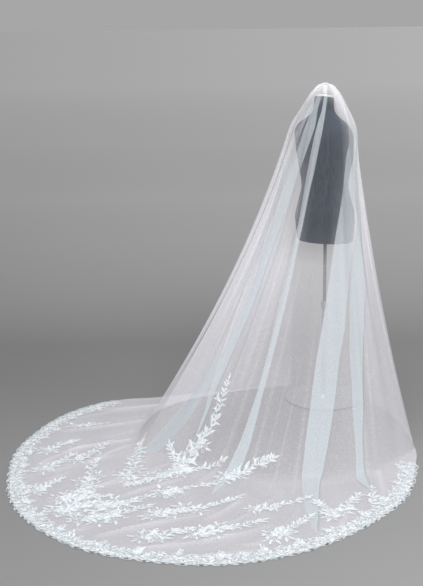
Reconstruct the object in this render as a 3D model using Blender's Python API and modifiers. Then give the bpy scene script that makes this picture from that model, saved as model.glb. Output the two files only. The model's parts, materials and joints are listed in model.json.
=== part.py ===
"""A cathedral-length bridal veil of soft tulle, draped over a headless dress form on a pole stand.

The origin is on the floor at the middle of the stand's round base, +Z is up, the form faces -Y
and the train of the veil runs out behind it towards +Y. All sizes are in metres.
"""

import math

import bmesh
import bpy
import numpy as np
from mathutils import Vector

MM = 0.001
GAP = 0.3 * MM
TAU = 2 * math.pi

# The stand.
BASE_RADIUS = 0.190
BASE_THICK = 10 * MM
BASE_BEVEL = 1.5 * MM
FLANGE_RADIUS = 0.036
FLANGE_HEIGHT = 14 * MM
LOWER_POLE_RADIUS = 12.5 * MM
UPPER_POLE_RADIUS = 8 * MM
COLLAR_RADIUS = 17 * MM
COLLAR_HEIGHT = 34 * MM
COLLAR_BOTTOM = 0.470
ROUND_STEPS = 40

# The dress form, section by section: height, half width, half depth and centre in Y.
TORSO_BOTTOM = 0.807
FORM_SECTIONS = (
    (0.807, 0.138, 0.100, 0.000),
    (0.870, 0.147, 0.104, 0.004),
    (0.930, 0.149, 0.104, 0.008),
    (1.000, 0.132, 0.094, 0.010),
    (1.070, 0.116, 0.086, 0.012),
    (1.140, 0.124, 0.092, 0.014),
    (1.220, 0.140, 0.104, 0.012),
    (1.290, 0.145, 0.096, 0.024),
    (1.340, 0.142, 0.070, 0.040),
    (1.372, 0.118, 0.056, 0.042),
    (1.400, 0.076, 0.052, 0.038),
    (1.422, 0.054, 0.050, 0.035),
    (1.450, 0.047, 0.048, 0.033),
    (1.486, 0.045, 0.047, 0.030),
)
FORM_STEPS_ROUND = 28
FORM_ROWS = 30
NECK_TILT = math.radians(12)
NECK_TOP = Vector((0.0, 0.030, 1.4863))
TILT_FROM = 1.400
CAP_RADIUS = 0.0455
CAP_THICK = 9 * MM
KNOB_STEM_RADIUS = 6 * MM
KNOB_STEM = 9 * MM
KNOB_RADIUS = 13 * MM
KNOB_HEIGHT = 42 * MM
KNOB_PROFILE_STEPS = 8

# The comb, a short bar with teeth that carries the gathered top of the veil on the knob.
COMB_LENGTH = 44 * MM
COMB_WIDE = 7 * MM
COMB_TALL = 5 * MM
COMB_TEETH = 9
TOOTH_RADIUS = 0.9 * MM
TOOTH_LENGTH = 17 * MM
TOOTH_SIDES = 8

# The tulle wall. A ray runs from the comb down to the floor and out to the edge of the cloth.
# Each row holds the ray's bearing at the shoulders in degrees, 0 straight back and positive
# towards +X, and in plan the place where it meets the floor and where the cloth ends.
TULLE_THICK = 1.2 * MM
RAYS = (
    (-104, -0.227, -0.069, -0.227, -0.069),
    (-92, -0.418, 0.094, -0.418, 0.094),
    (-79, -0.610, 0.382, -0.610, 0.382),
    (-67, -0.598, 0.557, -0.686, 0.578),
    (-55, -0.546, 0.742, -0.753, 0.912),
    (-43, -0.414, 0.875, -0.686, 1.279),
    (-31, -0.262, 0.950, -0.541, 1.555),
    (-19, -0.110, 0.985, -0.319, 1.742),
    (-6, 0.042, 1.000, 0.040, 1.845),
    (7, 0.185, 1.006, 0.328, 1.805),
    (19, 0.317, 1.002, 0.602, 1.659),
    (31, 0.439, 0.969, 0.855, 1.355),
    (43, 0.519, 0.888, 0.963, 1.085),
    (55, 0.579, 0.748, 0.990, 0.781),
    (68, 0.617, 0.569, 0.895, 0.526),
    (80, 0.563, 0.354, 0.727, 0.376),
    (92, 0.407, 0.104, 0.458, 0.121),
    (104, 0.226, -0.094, 0.226, -0.094),
)

# The rings of cloth from the gathers to the shoulders: height, half width, depth behind the
# centre and the centre in Y. Below the last one each ray sags towards its place on the floor.
RINGS = (
    (1.5545, 0.006, 0.005, 0.020),
    (1.5516, 0.024, 0.015, 0.019),
    (1.5380, 0.042, 0.044, 0.015),
    (1.5000, 0.070, 0.088, 0.012),
    (1.4400, 0.106, 0.118, 0.018),
    (1.3700, 0.147, 0.137, 0.030),
    (1.3300, 0.161, 0.152, 0.036),
)
SAG = 0.43
FALL_DROPS = (1.20, 1.05, 0.88, 0.70, 0.52, 0.34, 0.18, 0.07, 0.0)

# The largest folds: place across the veil from 0 to 1, half width on that scale, and height.
FOLDS = (
    (0.100, 0.018, 0.018),
    (0.185, 0.016, 0.018),
    (0.265, 0.020, 0.024),
    (0.345, 0.018, 0.014),
    (0.435, 0.018, 0.024),
    (0.500, 0.016, 0.018),
    (0.580, 0.018, 0.020),
    (0.665, 0.016, 0.014),
    (0.760, 0.020, 0.020),
    (0.860, 0.018, 0.016),
    (0.930, 0.014, 0.014),
)

FALL_COLUMNS = 72
SIDE_RIGHT_END = 22
SIDE_LEFT_START = 50
TRAIN_FROM = 0.138
TRAIN_TO = 0.946
TRAIN_COLUMNS = 56
TRAIN_ROWS = 4
TRAIN_SEAM = 3.8 * MM
HEM_INSET = 11 * MM

# The lace border along the rounded hem.
LACE_THICK = 1.0 * MM
LACE_FROM = 0.176
LACE_TO = 0.820
LACE_WIDTH = 0.068
SCALLOP_PITCH = 0.050
SCALLOP_DEPTH = 6 * MM
SCALLOP_STEPS = 3

# The sprays. Each grows from a root through a middle to a tip. Each place has two numbers: how
# far it is across the veil, and how far along the ray, where 1 is the floor line and 2 the hem.
# The last column is the spray's half width.
SPRAYS = (
    ("spray_tall_stem", (0.528, 0.975), (0.512, 0.900), (0.520, 0.803), 0.026),
    ("spray_tall_branch", (0.538, 1.110), (0.560, 1.070), (0.588, 1.055), 0.018),
    ("spray_loop", (0.500, 1.090), (0.486, 1.055), (0.460, 1.045), 0.018),
    ("spray_chain", (0.512, 1.120), (0.520, 1.240), (0.528, 1.350), 0.030),
    ("spray_chain_branch", (0.560, 1.321), (0.612, 1.147), (0.668, 1.038), 0.026),
    ("spray_left_cluster", (0.556, 1.601), (0.586, 1.500), (0.612, 1.393), 0.034),
    ("spray_left_branch", (0.634, 1.517), (0.652, 1.374), (0.684, 1.251), 0.026),
    ("spray_far", (0.735, 1.714), (0.740, 1.609), (0.752, 1.443), 0.024),
    ("spray_edge_far", (0.666, 1.755), (0.674, 1.704), (0.690, 1.579), 0.024),
    ("spray_edge_middle", (0.624, 1.780), (0.628, 1.680), (0.644, 1.555), 0.024),
    ("spray_edge_near", (0.592, 1.847), (0.596, 1.797), (0.598, 1.697), 0.024),
    ("spray_big_left", (0.546, 1.853), (0.542, 1.780), (0.534, 1.670), 0.040),
    ("spray_big_right", (0.512, 1.820), (0.500, 1.680), (0.484, 1.535), 0.040),
    ("spray_ring", (0.490, 1.390), (0.474, 1.295), (0.452, 1.205), 0.032),
    ("spray_long", (0.466, 1.600), (0.444, 1.470), (0.412, 1.310), 0.028),
    ("spray_small_low", (0.456, 1.820), (0.446, 1.750), (0.436, 1.690), 0.028),
    ("spray_low_right", (0.426, 1.720), (0.404, 1.645), (0.378, 1.573), 0.030),
    ("spray_right", (0.388, 1.439), (0.362, 1.397), (0.330, 1.321), 0.026),
    ("spray_right_low", (0.360, 1.773), (0.346, 1.690), (0.328, 1.602), 0.030),
    ("spray_middle_right", (0.440, 1.135), (0.414, 1.075), (0.386, 1.060), 0.022),
    ("spray_side", (0.292, 1.659), (0.284, 1.563), (0.272, 1.468), 0.028),
    ("spray_side_branch", (0.304, 1.665), (0.306, 1.533), (0.316, 1.408), 0.024),
    ("spray_side_tip", (0.262, 1.612), (0.258, 1.542), (0.254, 1.430), 0.018),
)
SPRAY_STEPS = 14
SPRAY_LOBES = 4
SPRAY_LIFT = 0.6 * MM
SPRAY_LIFT_ON_FALL = 0.9 * MM


def clear_scene():
    """Take away whatever the scene holds."""
    for obj in list(bpy.data.objects):
        bpy.data.objects.remove(obj, do_unlink=True)


def new_collection(name, hidden=False):
    """A collection linked to the scene."""
    made = bpy.data.collections.new(name)
    bpy.context.scene.collection.children.link(made)
    made.hide_render = hidden
    return made


def material(name, colour, roughness, metallic=0.0, alpha=1.0, transmission=0.0):
    """A plain Principled material."""
    made = bpy.data.materials.new(name)
    made.use_nodes = True
    shader = made.node_tree.nodes["Principled BSDF"]
    shader.inputs["Base Color"].default_value = (*colour, 1.0)
    shader.inputs["Roughness"].default_value = roughness
    shader.inputs["Metallic"].default_value = metallic
    shader.inputs["Alpha"].default_value = alpha
    shader.inputs["Transmission Weight"].default_value = transmission
    return made


def add_mesh(name, points, faces, collection, finish):
    """An object from points and faces."""
    mesh = bpy.data.meshes.new(name)
    mesh.from_pydata([tuple(point) for point in points], [], faces)
    mesh.materials.append(finish)
    mesh.shade_smooth()
    obj = bpy.data.objects.new(name, mesh)
    collection.objects.link(obj)
    return obj


def grid_faces(rows, columns):
    """The quads of a grid of points stored row by row."""
    return [
        (r * columns + c, r * columns + c + 1, (r + 1) * columns + c + 1, (r + 1) * columns + c)
        for r in range(rows - 1)
        for c in range(columns - 1)
    ]


def solidify(obj, thickness, side):
    """Give an open surface a wall, grown to one side of it."""
    wall = obj.modifiers.new("wall", "SOLIDIFY")
    wall.thickness = thickness
    wall.offset = side
    wall.use_even_offset = False
    return wall


def spline(table, place):
    """A smooth curve through the rows of a table, read at a place counted in rows."""
    last = len(table) - 1
    row = min(max(int(math.floor(place)), 0), last - 1)
    t = place - row
    before = table[row - 1] if row > 0 else 2 * table[row] - table[row + 1]
    after = table[row + 2] if row + 2 <= last else 2 * table[last] - table[last - 1]
    start, end = table[row], table[row + 1]
    return 0.5 * (
        2 * start
        + (end - before) * t
        + (2 * before - 5 * start + 4 * end - after) * t * t
        + (3 * start - before - 3 * end + after) * t * t * t
    )


RAY_TABLE = np.array(RAYS, dtype=float)
RING_TABLE = np.array(RINGS, dtype=float)


def ray(place):
    """The bearing, floor place and end place of the ray at a place across the veil."""
    found = spline(RAY_TABLE, place * (len(RAYS) - 1))
    return math.radians(found[0]), found[1:3], found[3:5]


def ring_at(height):
    """The half width, depth and centre of the cloth's ring at a height above the shoulders."""
    heights = -RING_TABLE[:, 0]
    row = float(np.interp(-height, heights, np.arange(len(RINGS))))
    return spline(RING_TABLE, row)[1:]


def ring_point(bearing, height):
    """The plan position of the cloth at a height above the shoulders."""
    half_width, depth, centre = ring_at(height)
    return np.array([half_width * math.sin(bearing), centre + depth * math.cos(bearing)])


def fold_height(place, drop):
    """How far the folds lift the cloth off its smooth form; drop is 0 at the comb, 1 below."""
    lift = sum(
        height * math.exp(-(((place - centre) / half_width) ** 2))
        for centre, half_width, height in FOLDS
    )
    swell = math.sin(math.pi * min(max(drop, 0.0), 1.0)) ** 0.8
    return lift * swell


def fall_point(place, height):
    """A point of the cloth between the comb and the floor."""
    bearing, floor_place, _ = ray(place)
    shoulder = RINGS[-1][0]
    if height >= shoulder:
        plan = ring_point(bearing, height)
    else:
        t = 1 - height / shoulder
        start = ring_point(bearing, shoulder)
        plan = start + (floor_place - start) * (t - SAG * t * (1 - t))
    outward = plan - np.array([0.0, RINGS[-1][3]])
    outward = outward / max(float(np.hypot(*outward)), MM)
    drop = 1 - height / RINGS[0][0]
    plan = plan + outward * fold_height(place, drop)
    return Vector((plan[0], plan[1], height))


def train_point(place, share, inset=0.0):
    """A point of the cloth on the floor, from its floor line at 0 to its end at 1."""
    _, floor_place, end_place = ray(place)
    run = end_place - floor_place
    length = max(float(np.hypot(*run)), MM)
    start = TRAIN_SEAM / length
    stop = 1 - inset / length
    plan = floor_place + run * (start + (stop - start) * share)
    return Vector((plan[0], plan[1], 0.0))


def hem_frame(place):
    """The end of the cloth in plan, and the direction that points inwards from it."""
    step = 0.002
    here = ray(place)[2]
    along = ray(min(place + step, 1))[2] - ray(max(place - step, 0))[2]
    along = along / float(np.hypot(*along))
    inward = np.array([along[1], -along[0]])
    return here, inward


def make_base(collection, finish):
    """The round clear base."""
    bpy.ops.mesh.primitive_cylinder_add(
        vertices=2 * ROUND_STEPS, radius=BASE_RADIUS, depth=BASE_THICK, location=(0, 0, BASE_THICK / 2)
    )
    base = adopt(bpy.context.object, "base_disc", collection, finish)
    edge = base.modifiers.new("edge", "BEVEL")
    edge.width = BASE_BEVEL
    edge.segments = 1
    edge.limit_method = "ANGLE"
    return base


def adopt(obj, name, collection, finish):
    """Name an object, move it to the collection and give it its material."""
    obj.name = name
    obj.data.name = name
    for owner in list(obj.users_collection):
        owner.objects.unlink(obj)
    collection.objects.link(obj)
    obj.data.materials.clear()
    obj.data.materials.append(finish)
    obj.data.shade_smooth()
    obj.data.set_sharp_from_angle(angle=math.radians(40))
    return obj


def turned(name, profile, collection, finish, place=(0, 0, 0), tilt=0.0):
    """A piece turned about its own Z from a profile that runs from top to bottom."""
    mesh = bpy.data.meshes.new(name)
    edges = [(i, i + 1) for i in range(len(profile) - 1)]
    mesh.from_pydata([(radius, 0, height) for radius, height in profile], edges, [])
    obj = bpy.data.objects.new(name, mesh)
    collection.objects.link(obj)
    screw = obj.modifiers.new("turn", "SCREW")
    screw.steps = ROUND_STEPS
    screw.render_steps = ROUND_STEPS
    screw.use_merge_vertices = True
    screw.merge_threshold = 0.0001
    mesh.materials.append(finish)
    obj.location = place
    obj.rotation_euler = (tilt, 0, 0)
    return obj


def rod_profile(radius, low, high, chamfer=0.6 * MM):
    """A round bar with small chamfers, from top to bottom."""
    return [
        (0, high),
        (radius - chamfer, high),
        (radius, high - chamfer),
        (radius, low + chamfer),
        (radius - chamfer, low),
        (0, low),
    ]


def make_stand(collection, finishes):
    """The flange, both tubes of the pole and the collar that sets the height."""
    flange_low = BASE_THICK + GAP
    flange_high = flange_low + FLANGE_HEIGHT
    turned(
        "base_flange",
        [
            (0, flange_high),
            (LOWER_POLE_RADIUS + 3 * MM, flange_high),
            (FLANGE_RADIUS - 6 * MM, flange_low + 6 * MM),
            (FLANGE_RADIUS, flange_low + 3 * MM),
            (FLANGE_RADIUS, flange_low),
            (0, flange_low),
        ],
        collection,
        finishes["chrome"],
    )
    turned(
        "pole_lower",
        rod_profile(LOWER_POLE_RADIUS, flange_high + GAP, COLLAR_BOTTOM - GAP),
        collection,
        finishes["chrome"],
    )
    collar_top = COLLAR_BOTTOM + COLLAR_HEIGHT
    turned(
        "pole_collar",
        rod_profile(COLLAR_RADIUS, COLLAR_BOTTOM, collar_top, 3 * MM),
        collection,
        finishes["collar"],
    )
    turned(
        "pole_upper",
        rod_profile(UPPER_POLE_RADIUS, collar_top + GAP, TORSO_BOTTOM - GAP),
        collection,
        finishes["dark_metal"],
    )


def form_point(height, turn):
    """A point on the form's skin; turn is 0 at +X and a quarter towards +Y."""
    table = np.array(FORM_SECTIONS, dtype=float)
    row = float(np.interp(height, table[:, 0], np.arange(len(table))))
    _, half_width, half_depth, centre = spline(table, row)
    x = half_width * math.cos(turn)
    y = centre + half_depth * math.sin(turn)
    tilt_share = max(0.0, (height - TILT_FROM) / (FORM_SECTIONS[-1][0] - TILT_FROM))
    return Vector((x, y, height + tilt_share * math.tan(NECK_TILT) * (y - centre)))


def make_form(collection, finish):
    """The headless, limbless form, closed at the neck and at its flat bottom."""
    top = FORM_SECTIONS[-1][0]
    points = []
    for row in range(FORM_ROWS + 1):
        height = TORSO_BOTTOM + (top - TORSO_BOTTOM) * row / FORM_ROWS
        points += [form_point(height, TAU * step / FORM_STEPS_ROUND) for step in range(FORM_STEPS_ROUND)]
    faces = []
    n = FORM_STEPS_ROUND
    for row in range(FORM_ROWS):
        for step in range(n):
            nxt = (step + 1) % n
            faces.append((row * n + step, row * n + nxt, (row + 1) * n + nxt, (row + 1) * n + step))
    faces.append(tuple(reversed(range(n))))
    faces.append(tuple(FORM_ROWS * n + step for step in range(n)))
    return add_mesh("torso", points, faces, collection, finish)


def make_neck_top(collection, finishes):
    """The pale cap on the neck and the small turned knob on the cap."""
    axis = Vector((0, -math.sin(NECK_TILT), math.cos(NECK_TILT)))
    turned(
        "neck_cap",
        rod_profile(CAP_RADIUS, 0, CAP_THICK, 2 * MM),
        collection,
        finishes["ivory"],
        NECK_TOP + axis * GAP,
        NECK_TILT,
    )
    profile = [(0, KNOB_STEM + KNOB_HEIGHT)]
    for step in range(1, KNOB_PROFILE_STEPS):
        angle = math.pi / 2 * step / KNOB_PROFILE_STEPS
        profile.append(
            (KNOB_RADIUS * math.sin(angle), KNOB_STEM + KNOB_HEIGHT - KNOB_RADIUS * (1 - math.cos(angle)))
        )
    profile += [
        (KNOB_RADIUS, KNOB_STEM + KNOB_HEIGHT - KNOB_RADIUS),
        (KNOB_RADIUS * 0.92, KNOB_STEM + 3 * MM),
        (KNOB_RADIUS * 0.80, KNOB_STEM),
        (KNOB_STEM_RADIUS, KNOB_STEM),
        (KNOB_STEM_RADIUS, 0),
        (0, 0),
    ]
    turned(
        "neck_knob",
        profile,
        collection,
        finishes["ivory"],
        NECK_TOP + axis * (2 * GAP + CAP_THICK),
        NECK_TILT,
    )


def knob_top():
    """The highest point of the tilted knob."""
    axis = Vector((0, -math.sin(NECK_TILT), math.cos(NECK_TILT)))
    centre_up = 2 * GAP + CAP_THICK + KNOB_STEM + KNOB_HEIGHT - KNOB_RADIUS
    return NECK_TOP + axis * centre_up + Vector((0, 0, KNOB_RADIUS))


def make_comb(collection, tools, finish):
    """The comb's bar, lying on the knob, with its teeth down behind it."""
    top = knob_top()
    low = top.z + GAP
    bpy.ops.mesh.primitive_cube_add(size=1, location=(0, top.y, low + COMB_TALL / 2))
    bar = adopt(bpy.context.object, "comb", collection, finish)
    bar.scale = (COMB_LENGTH, COMB_WIDE, COMB_TALL)
    bpy.ops.object.transform_apply(location=False, rotation=False, scale=True)
    teeth = bmesh.new()
    span = COMB_LENGTH - 5 * MM
    for index in range(COMB_TEETH):
        x = span * (index / (COMB_TEETH - 1) - 0.5)
        if abs(x) < KNOB_RADIUS + 1 * MM:
            continue
        made = bmesh.ops.create_cone(
            teeth,
            cap_ends=True,
            segments=TOOTH_SIDES,
            radius1=TOOTH_RADIUS,
            radius2=TOOTH_RADIUS,
            depth=TOOTH_LENGTH,
        )
        bmesh.ops.translate(
            teeth, verts=made["verts"], vec=(x, top.y, low + COMB_TALL / 2 - TOOTH_LENGTH / 2)
        )
    mesh = bpy.data.meshes.new("comb_teeth")
    teeth.to_mesh(mesh)
    teeth.free()
    cutter = bpy.data.objects.new("comb_teeth", mesh)
    cutter.hide_render = True
    cutter.display_type = "WIRE"
    tools.objects.link(cutter)
    join = bar.modifiers.new("teeth", "BOOLEAN")
    join.operation = "UNION"
    join.object = cutter
    return bar


def fall_heights():
    """The heights of the fall's rows, from the gathers to the floor."""
    rings = [row[0] for row in RINGS]
    return rings + list(FALL_DROPS)


def make_fall(collection, finish):
    """The cloth from the comb to the floor, in three stretches across the veil."""
    stretches = (
        ("tulle_right_side", 0, SIDE_RIGHT_END),
        ("tulle_back", SIDE_RIGHT_END, SIDE_LEFT_START),
        ("tulle_left_side", SIDE_LEFT_START, FALL_COLUMNS),
    )
    heights = fall_heights()
    for name, first, last in stretches:
        half_seam = GAP
        points = []
        for height in heights:
            row = [fall_point(column / FALL_COLUMNS, height) for column in range(first, last + 1)]
            if first:
                row[0] = row[0] + (row[1] - row[0]).normalized() * half_seam
            if last < FALL_COLUMNS:
                row[-1] = row[-1] + (row[-2] - row[-1]).normalized() * half_seam
            points += row
        count = last - first + 1
        obj = add_mesh(name, points, grid_faces(len(heights), count), collection, finish)
        solidify(obj, TULLE_THICK, 1)


def make_train(collection, finish):
    """The cloth that lies on the floor, flat underneath."""
    points = []
    for row in range(TRAIN_ROWS + 1):
        share = row / TRAIN_ROWS
        for column in range(TRAIN_COLUMNS + 1):
            place = TRAIN_FROM + (TRAIN_TO - TRAIN_FROM) * column / TRAIN_COLUMNS
            points.append(train_point(place, share, HEM_INSET))
    faces = grid_faces(TRAIN_ROWS + 1, TRAIN_COLUMNS + 1)
    obj = add_mesh("tulle_train", points, faces, collection, finish)
    solidify(obj, TULLE_THICK, 1)
    return obj


def hem_places(start, stop, pitch):
    """Places across the veil that lie a pitch apart along the end of the cloth."""
    fine = np.linspace(start, stop, 600)
    ends = np.array([ray(place)[2] for place in fine])
    run = np.concatenate([[0], np.cumsum(np.hypot(*np.diff(ends, axis=0).T))])
    count = int(round(run[-1] / pitch))
    return np.interp(np.linspace(0, run[-1], count + 1), run, fine)


def make_lace_border(collection, finish):
    """The scalloped lace, on top of the tulle and a little past its edge."""
    places = hem_places(LACE_FROM, LACE_TO, SCALLOP_PITCH / SCALLOP_STEPS)
    floor = TULLE_THICK + GAP
    outer, inner = [], []
    for index, place in enumerate(places):
        here, inward = hem_frame(place)
        wave = abs(math.sin(math.pi * index / SCALLOP_STEPS))
        edge = here + inward * SCALLOP_DEPTH * (1 - wave)
        back = here + inward * LACE_WIDTH
        outer.append(Vector((edge[0], edge[1], floor)))
        inner.append(Vector((back[0], back[1], floor)))
    faces = grid_faces(2, len(places))
    obj = add_mesh("lace_border", inner + outer, faces, collection, finish)
    solidify(obj, LACE_THICK, 1)
    return obj


def panel_point(place, height):
    """A point on the flat facets of the fall's own mesh."""
    heights = fall_heights()
    row = next(index for index in range(1, len(heights)) if heights[index] <= height + 1e-9)
    high, low = heights[row - 1], heights[row]
    down = (high - height) / (high - low)
    column = min(int(place * FALL_COLUMNS), FALL_COLUMNS - 1)
    right = place * FALL_COLUMNS - column
    corners = [
        fall_point((column + step) / FALL_COLUMNS, level) for level in (high, low) for step in (0, 1)
    ]
    upper = corners[0].lerp(corners[1], right)
    lower = corners[2].lerp(corners[3], right)
    return upper.lerp(lower, down)


def cloth_point(place, along):
    """A point on the veil's underside: along is 1 on the floor line and 2 at the hem."""
    if along >= 1:
        return train_point(place, along - 1)
    return panel_point(place, RINGS[0][0] * (1 - along))


def cloth_normal(place, along):
    """The outward direction of the cloth."""
    if along >= 1:
        return Vector((0, 0, 1))
    step = 0.006
    across = cloth_point(place + step, along) - cloth_point(place - step, along)
    down = cloth_point(place, min(along + step, 0.999)) - cloth_point(place, along - step)
    normal = down.cross(across)
    normal.normalize()
    return normal if normal.z > 0 else -normal


def spray_line(root, middle, tip):
    """The places along a spray's stem."""
    line = []
    for step in range(SPRAY_STEPS + 1):
        t = step / SPRAY_STEPS
        weights = (2 * (t - 0.5) * (t - 1), 4 * t * (1 - t), 2 * t * (t - 0.5))
        place = sum(w * spot[0] for w, spot in zip(weights, (root, middle, tip)))
        along = sum(w * spot[1] for w, spot in zip(weights, (root, middle, tip)))
        line.append((place, along))
    return line


def make_spray(collection, finish, row):
    """One flower and leaf spray, a lobed strip on the cloth."""
    name, root, middle, tip, half_width = row
    line = spray_line(root, middle, tip)
    spots = []
    for place, along in line:
        lift = SPRAY_LIFT if along >= 1 else SPRAY_LIFT_ON_FALL
        spots.append(cloth_point(place, along) + cloth_normal(place, along) * (TULLE_THICK + lift))
    left, right = [], []
    for step, spot in enumerate(spots):
        t = step / SPRAY_STEPS
        forward = (spots[min(step + 1, SPRAY_STEPS)] - spots[max(step - 1, 0)]).normalized()
        side = cloth_normal(*line[step]).cross(forward).normalized()
        lobes = 0.62 + 0.38 * abs(math.sin(math.pi * SPRAY_LOBES * t))
        width = half_width * lobes * (1.08 - t) ** 0.5
        left.append(spot + side * width)
        right.append(spot - side * width)
    obj = add_mesh(name, right + left, grid_faces(2, SPRAY_STEPS + 1), collection, finish)
    solidify(obj, LACE_THICK, 1)
    return obj


def main():
    """Build every piece."""
    clear_scene()
    parts = new_collection("bridal_veil_on_dress_form")
    tools = new_collection("tools", hidden=True)
    finishes = {
        "glass": material("clear acrylic", (0.80, 0.84, 0.85), 0.05, transmission=0.9),
        "chrome": material("chromed steel", (0.75, 0.76, 0.78), 0.12, metallic=1.0),
        "collar": material("collar plastic", (0.10, 0.10, 0.11), 0.4),
        "dark_metal": material("dark steel", (0.22, 0.23, 0.25), 0.35, metallic=1.0),
        "charcoal": material("charcoal jersey", (0.045, 0.052, 0.062), 0.85),
        "ivory": material("ivory lacquered wood", (0.80, 0.80, 0.76), 0.35),
        "comb": material("comb metal", (0.72, 0.72, 0.74), 0.3, metallic=1.0),
        "tulle": material("white soft tulle", (0.86, 0.87, 0.90), 0.8, alpha=0.4),
        "lace": material("white corded lace", (0.90, 0.91, 0.92), 0.75),
    }
    make_base(parts, finishes["glass"])
    make_stand(parts, finishes)
    make_form(parts, finishes["charcoal"])
    make_neck_top(parts, finishes)
    make_comb(parts, tools, finishes["comb"])
    make_fall(parts, finishes["tulle"])
    make_train(parts, finishes["tulle"])
    make_lace_border(parts, finishes["lace"])
    for row in SPRAYS:
        make_spray(parts, finishes["lace"], row)


if __name__ == "__main__":
    main()
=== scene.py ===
"""Looks of a cathedral bridal veil of soft tulle with a scalloped lace hem, on a headless dress form.

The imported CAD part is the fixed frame. The origin is on the floor at the middle of the stand's
round base, +Z is up, the form faces -Y and the train runs out behind it. Sizes are in metres.
"""

import json
import logging
import math
from dataclasses import dataclass
from enum import Enum
from typing import ClassVar

import bmesh
import bpy
import numpy as np
from mathutils import Matrix, Vector

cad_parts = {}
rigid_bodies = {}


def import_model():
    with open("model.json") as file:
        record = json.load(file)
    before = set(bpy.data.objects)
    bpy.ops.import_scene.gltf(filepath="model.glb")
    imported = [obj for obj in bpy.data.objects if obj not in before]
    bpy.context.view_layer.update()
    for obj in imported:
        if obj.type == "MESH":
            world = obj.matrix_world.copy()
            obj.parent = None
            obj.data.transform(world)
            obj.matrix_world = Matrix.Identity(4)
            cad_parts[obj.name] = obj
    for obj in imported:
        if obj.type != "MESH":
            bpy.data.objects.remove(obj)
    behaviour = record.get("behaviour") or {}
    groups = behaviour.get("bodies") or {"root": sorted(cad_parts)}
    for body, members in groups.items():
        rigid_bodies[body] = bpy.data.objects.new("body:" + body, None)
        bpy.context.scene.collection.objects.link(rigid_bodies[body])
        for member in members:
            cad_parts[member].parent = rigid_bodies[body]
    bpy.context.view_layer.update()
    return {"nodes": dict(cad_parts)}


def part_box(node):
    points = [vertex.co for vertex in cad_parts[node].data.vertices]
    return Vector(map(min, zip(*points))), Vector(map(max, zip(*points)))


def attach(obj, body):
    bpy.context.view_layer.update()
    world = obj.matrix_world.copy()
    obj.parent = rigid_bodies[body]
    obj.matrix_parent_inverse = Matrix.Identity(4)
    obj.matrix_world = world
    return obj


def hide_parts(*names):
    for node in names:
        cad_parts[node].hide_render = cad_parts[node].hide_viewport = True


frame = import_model()

Array = np.ndarray
Tree = bpy.types.NodeTree
Node = bpy.types.Node
Socket = bpy.types.NodeSocket
Material = bpy.types.Material
Solid = bpy.types.Object
log = logging.getLogger("veil")

MM = 0.001
TAU = 2 * math.pi
GAP = 0.3 * MM
UP = np.array([0.0, 0.0, 1.0])
BODY = "root"

# The cloth's rays: bearing at the shoulders in degrees, and in plan the place where the ray meets
# the floor and where the cloth ends. They run across the veil from -X round the back to +X.
RAYS = np.array((
    (-104, -0.227, -0.069, -0.227, -0.069),
    (-92, -0.418, 0.094, -0.418, 0.094),
    (-79, -0.610, 0.382, -0.610, 0.382),
    (-67, -0.598, 0.557, -0.686, 0.578),
    (-55, -0.546, 0.742, -0.753, 0.912),
    (-43, -0.414, 0.875, -0.686, 1.279),
    (-31, -0.262, 0.950, -0.541, 1.555),
    (-19, -0.110, 0.985, -0.319, 1.742),
    (-6, 0.042, 1.000, 0.040, 1.845),
    (7, 0.185, 1.006, 0.328, 1.805),
    (19, 0.317, 1.002, 0.602, 1.659),
    (31, 0.439, 0.969, 0.855, 1.355),
    (43, 0.519, 0.888, 0.963, 1.085),
    (55, 0.579, 0.748, 0.990, 0.781),
    (68, 0.617, 0.569, 0.895, 0.526),
    (80, 0.563, 0.354, 0.727, 0.376),
    (92, 0.407, 0.104, 0.458, 0.121),
    (104, 0.226, -0.094, 0.226, -0.094),
))

# The rings of cloth from the gathers to the shoulders: height, half width, depth, centre in Y.
RINGS = np.array((
    (1.5545, 0.006, 0.005, 0.020),
    (1.5516, 0.024, 0.015, 0.019),
    (1.5380, 0.042, 0.044, 0.015),
    (1.5000, 0.070, 0.088, 0.012),
    (1.4400, 0.106, 0.118, 0.018),
    (1.3700, 0.147, 0.137, 0.030),
    (1.3300, 0.161, 0.152, 0.036),
))

# The largest folds: place across the veil from 0 to 1, half width on that scale, and height.
FOLDS = (
    (0.100, 0.018, 0.018), (0.185, 0.016, 0.018), (0.265, 0.020, 0.024), (0.345, 0.018, 0.014),
    (0.435, 0.018, 0.024), (0.500, 0.016, 0.018), (0.580, 0.018, 0.020), (0.665, 0.016, 0.014),
    (0.760, 0.020, 0.020), (0.860, 0.018, 0.016), (0.930, 0.014, 0.014),
)

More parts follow.
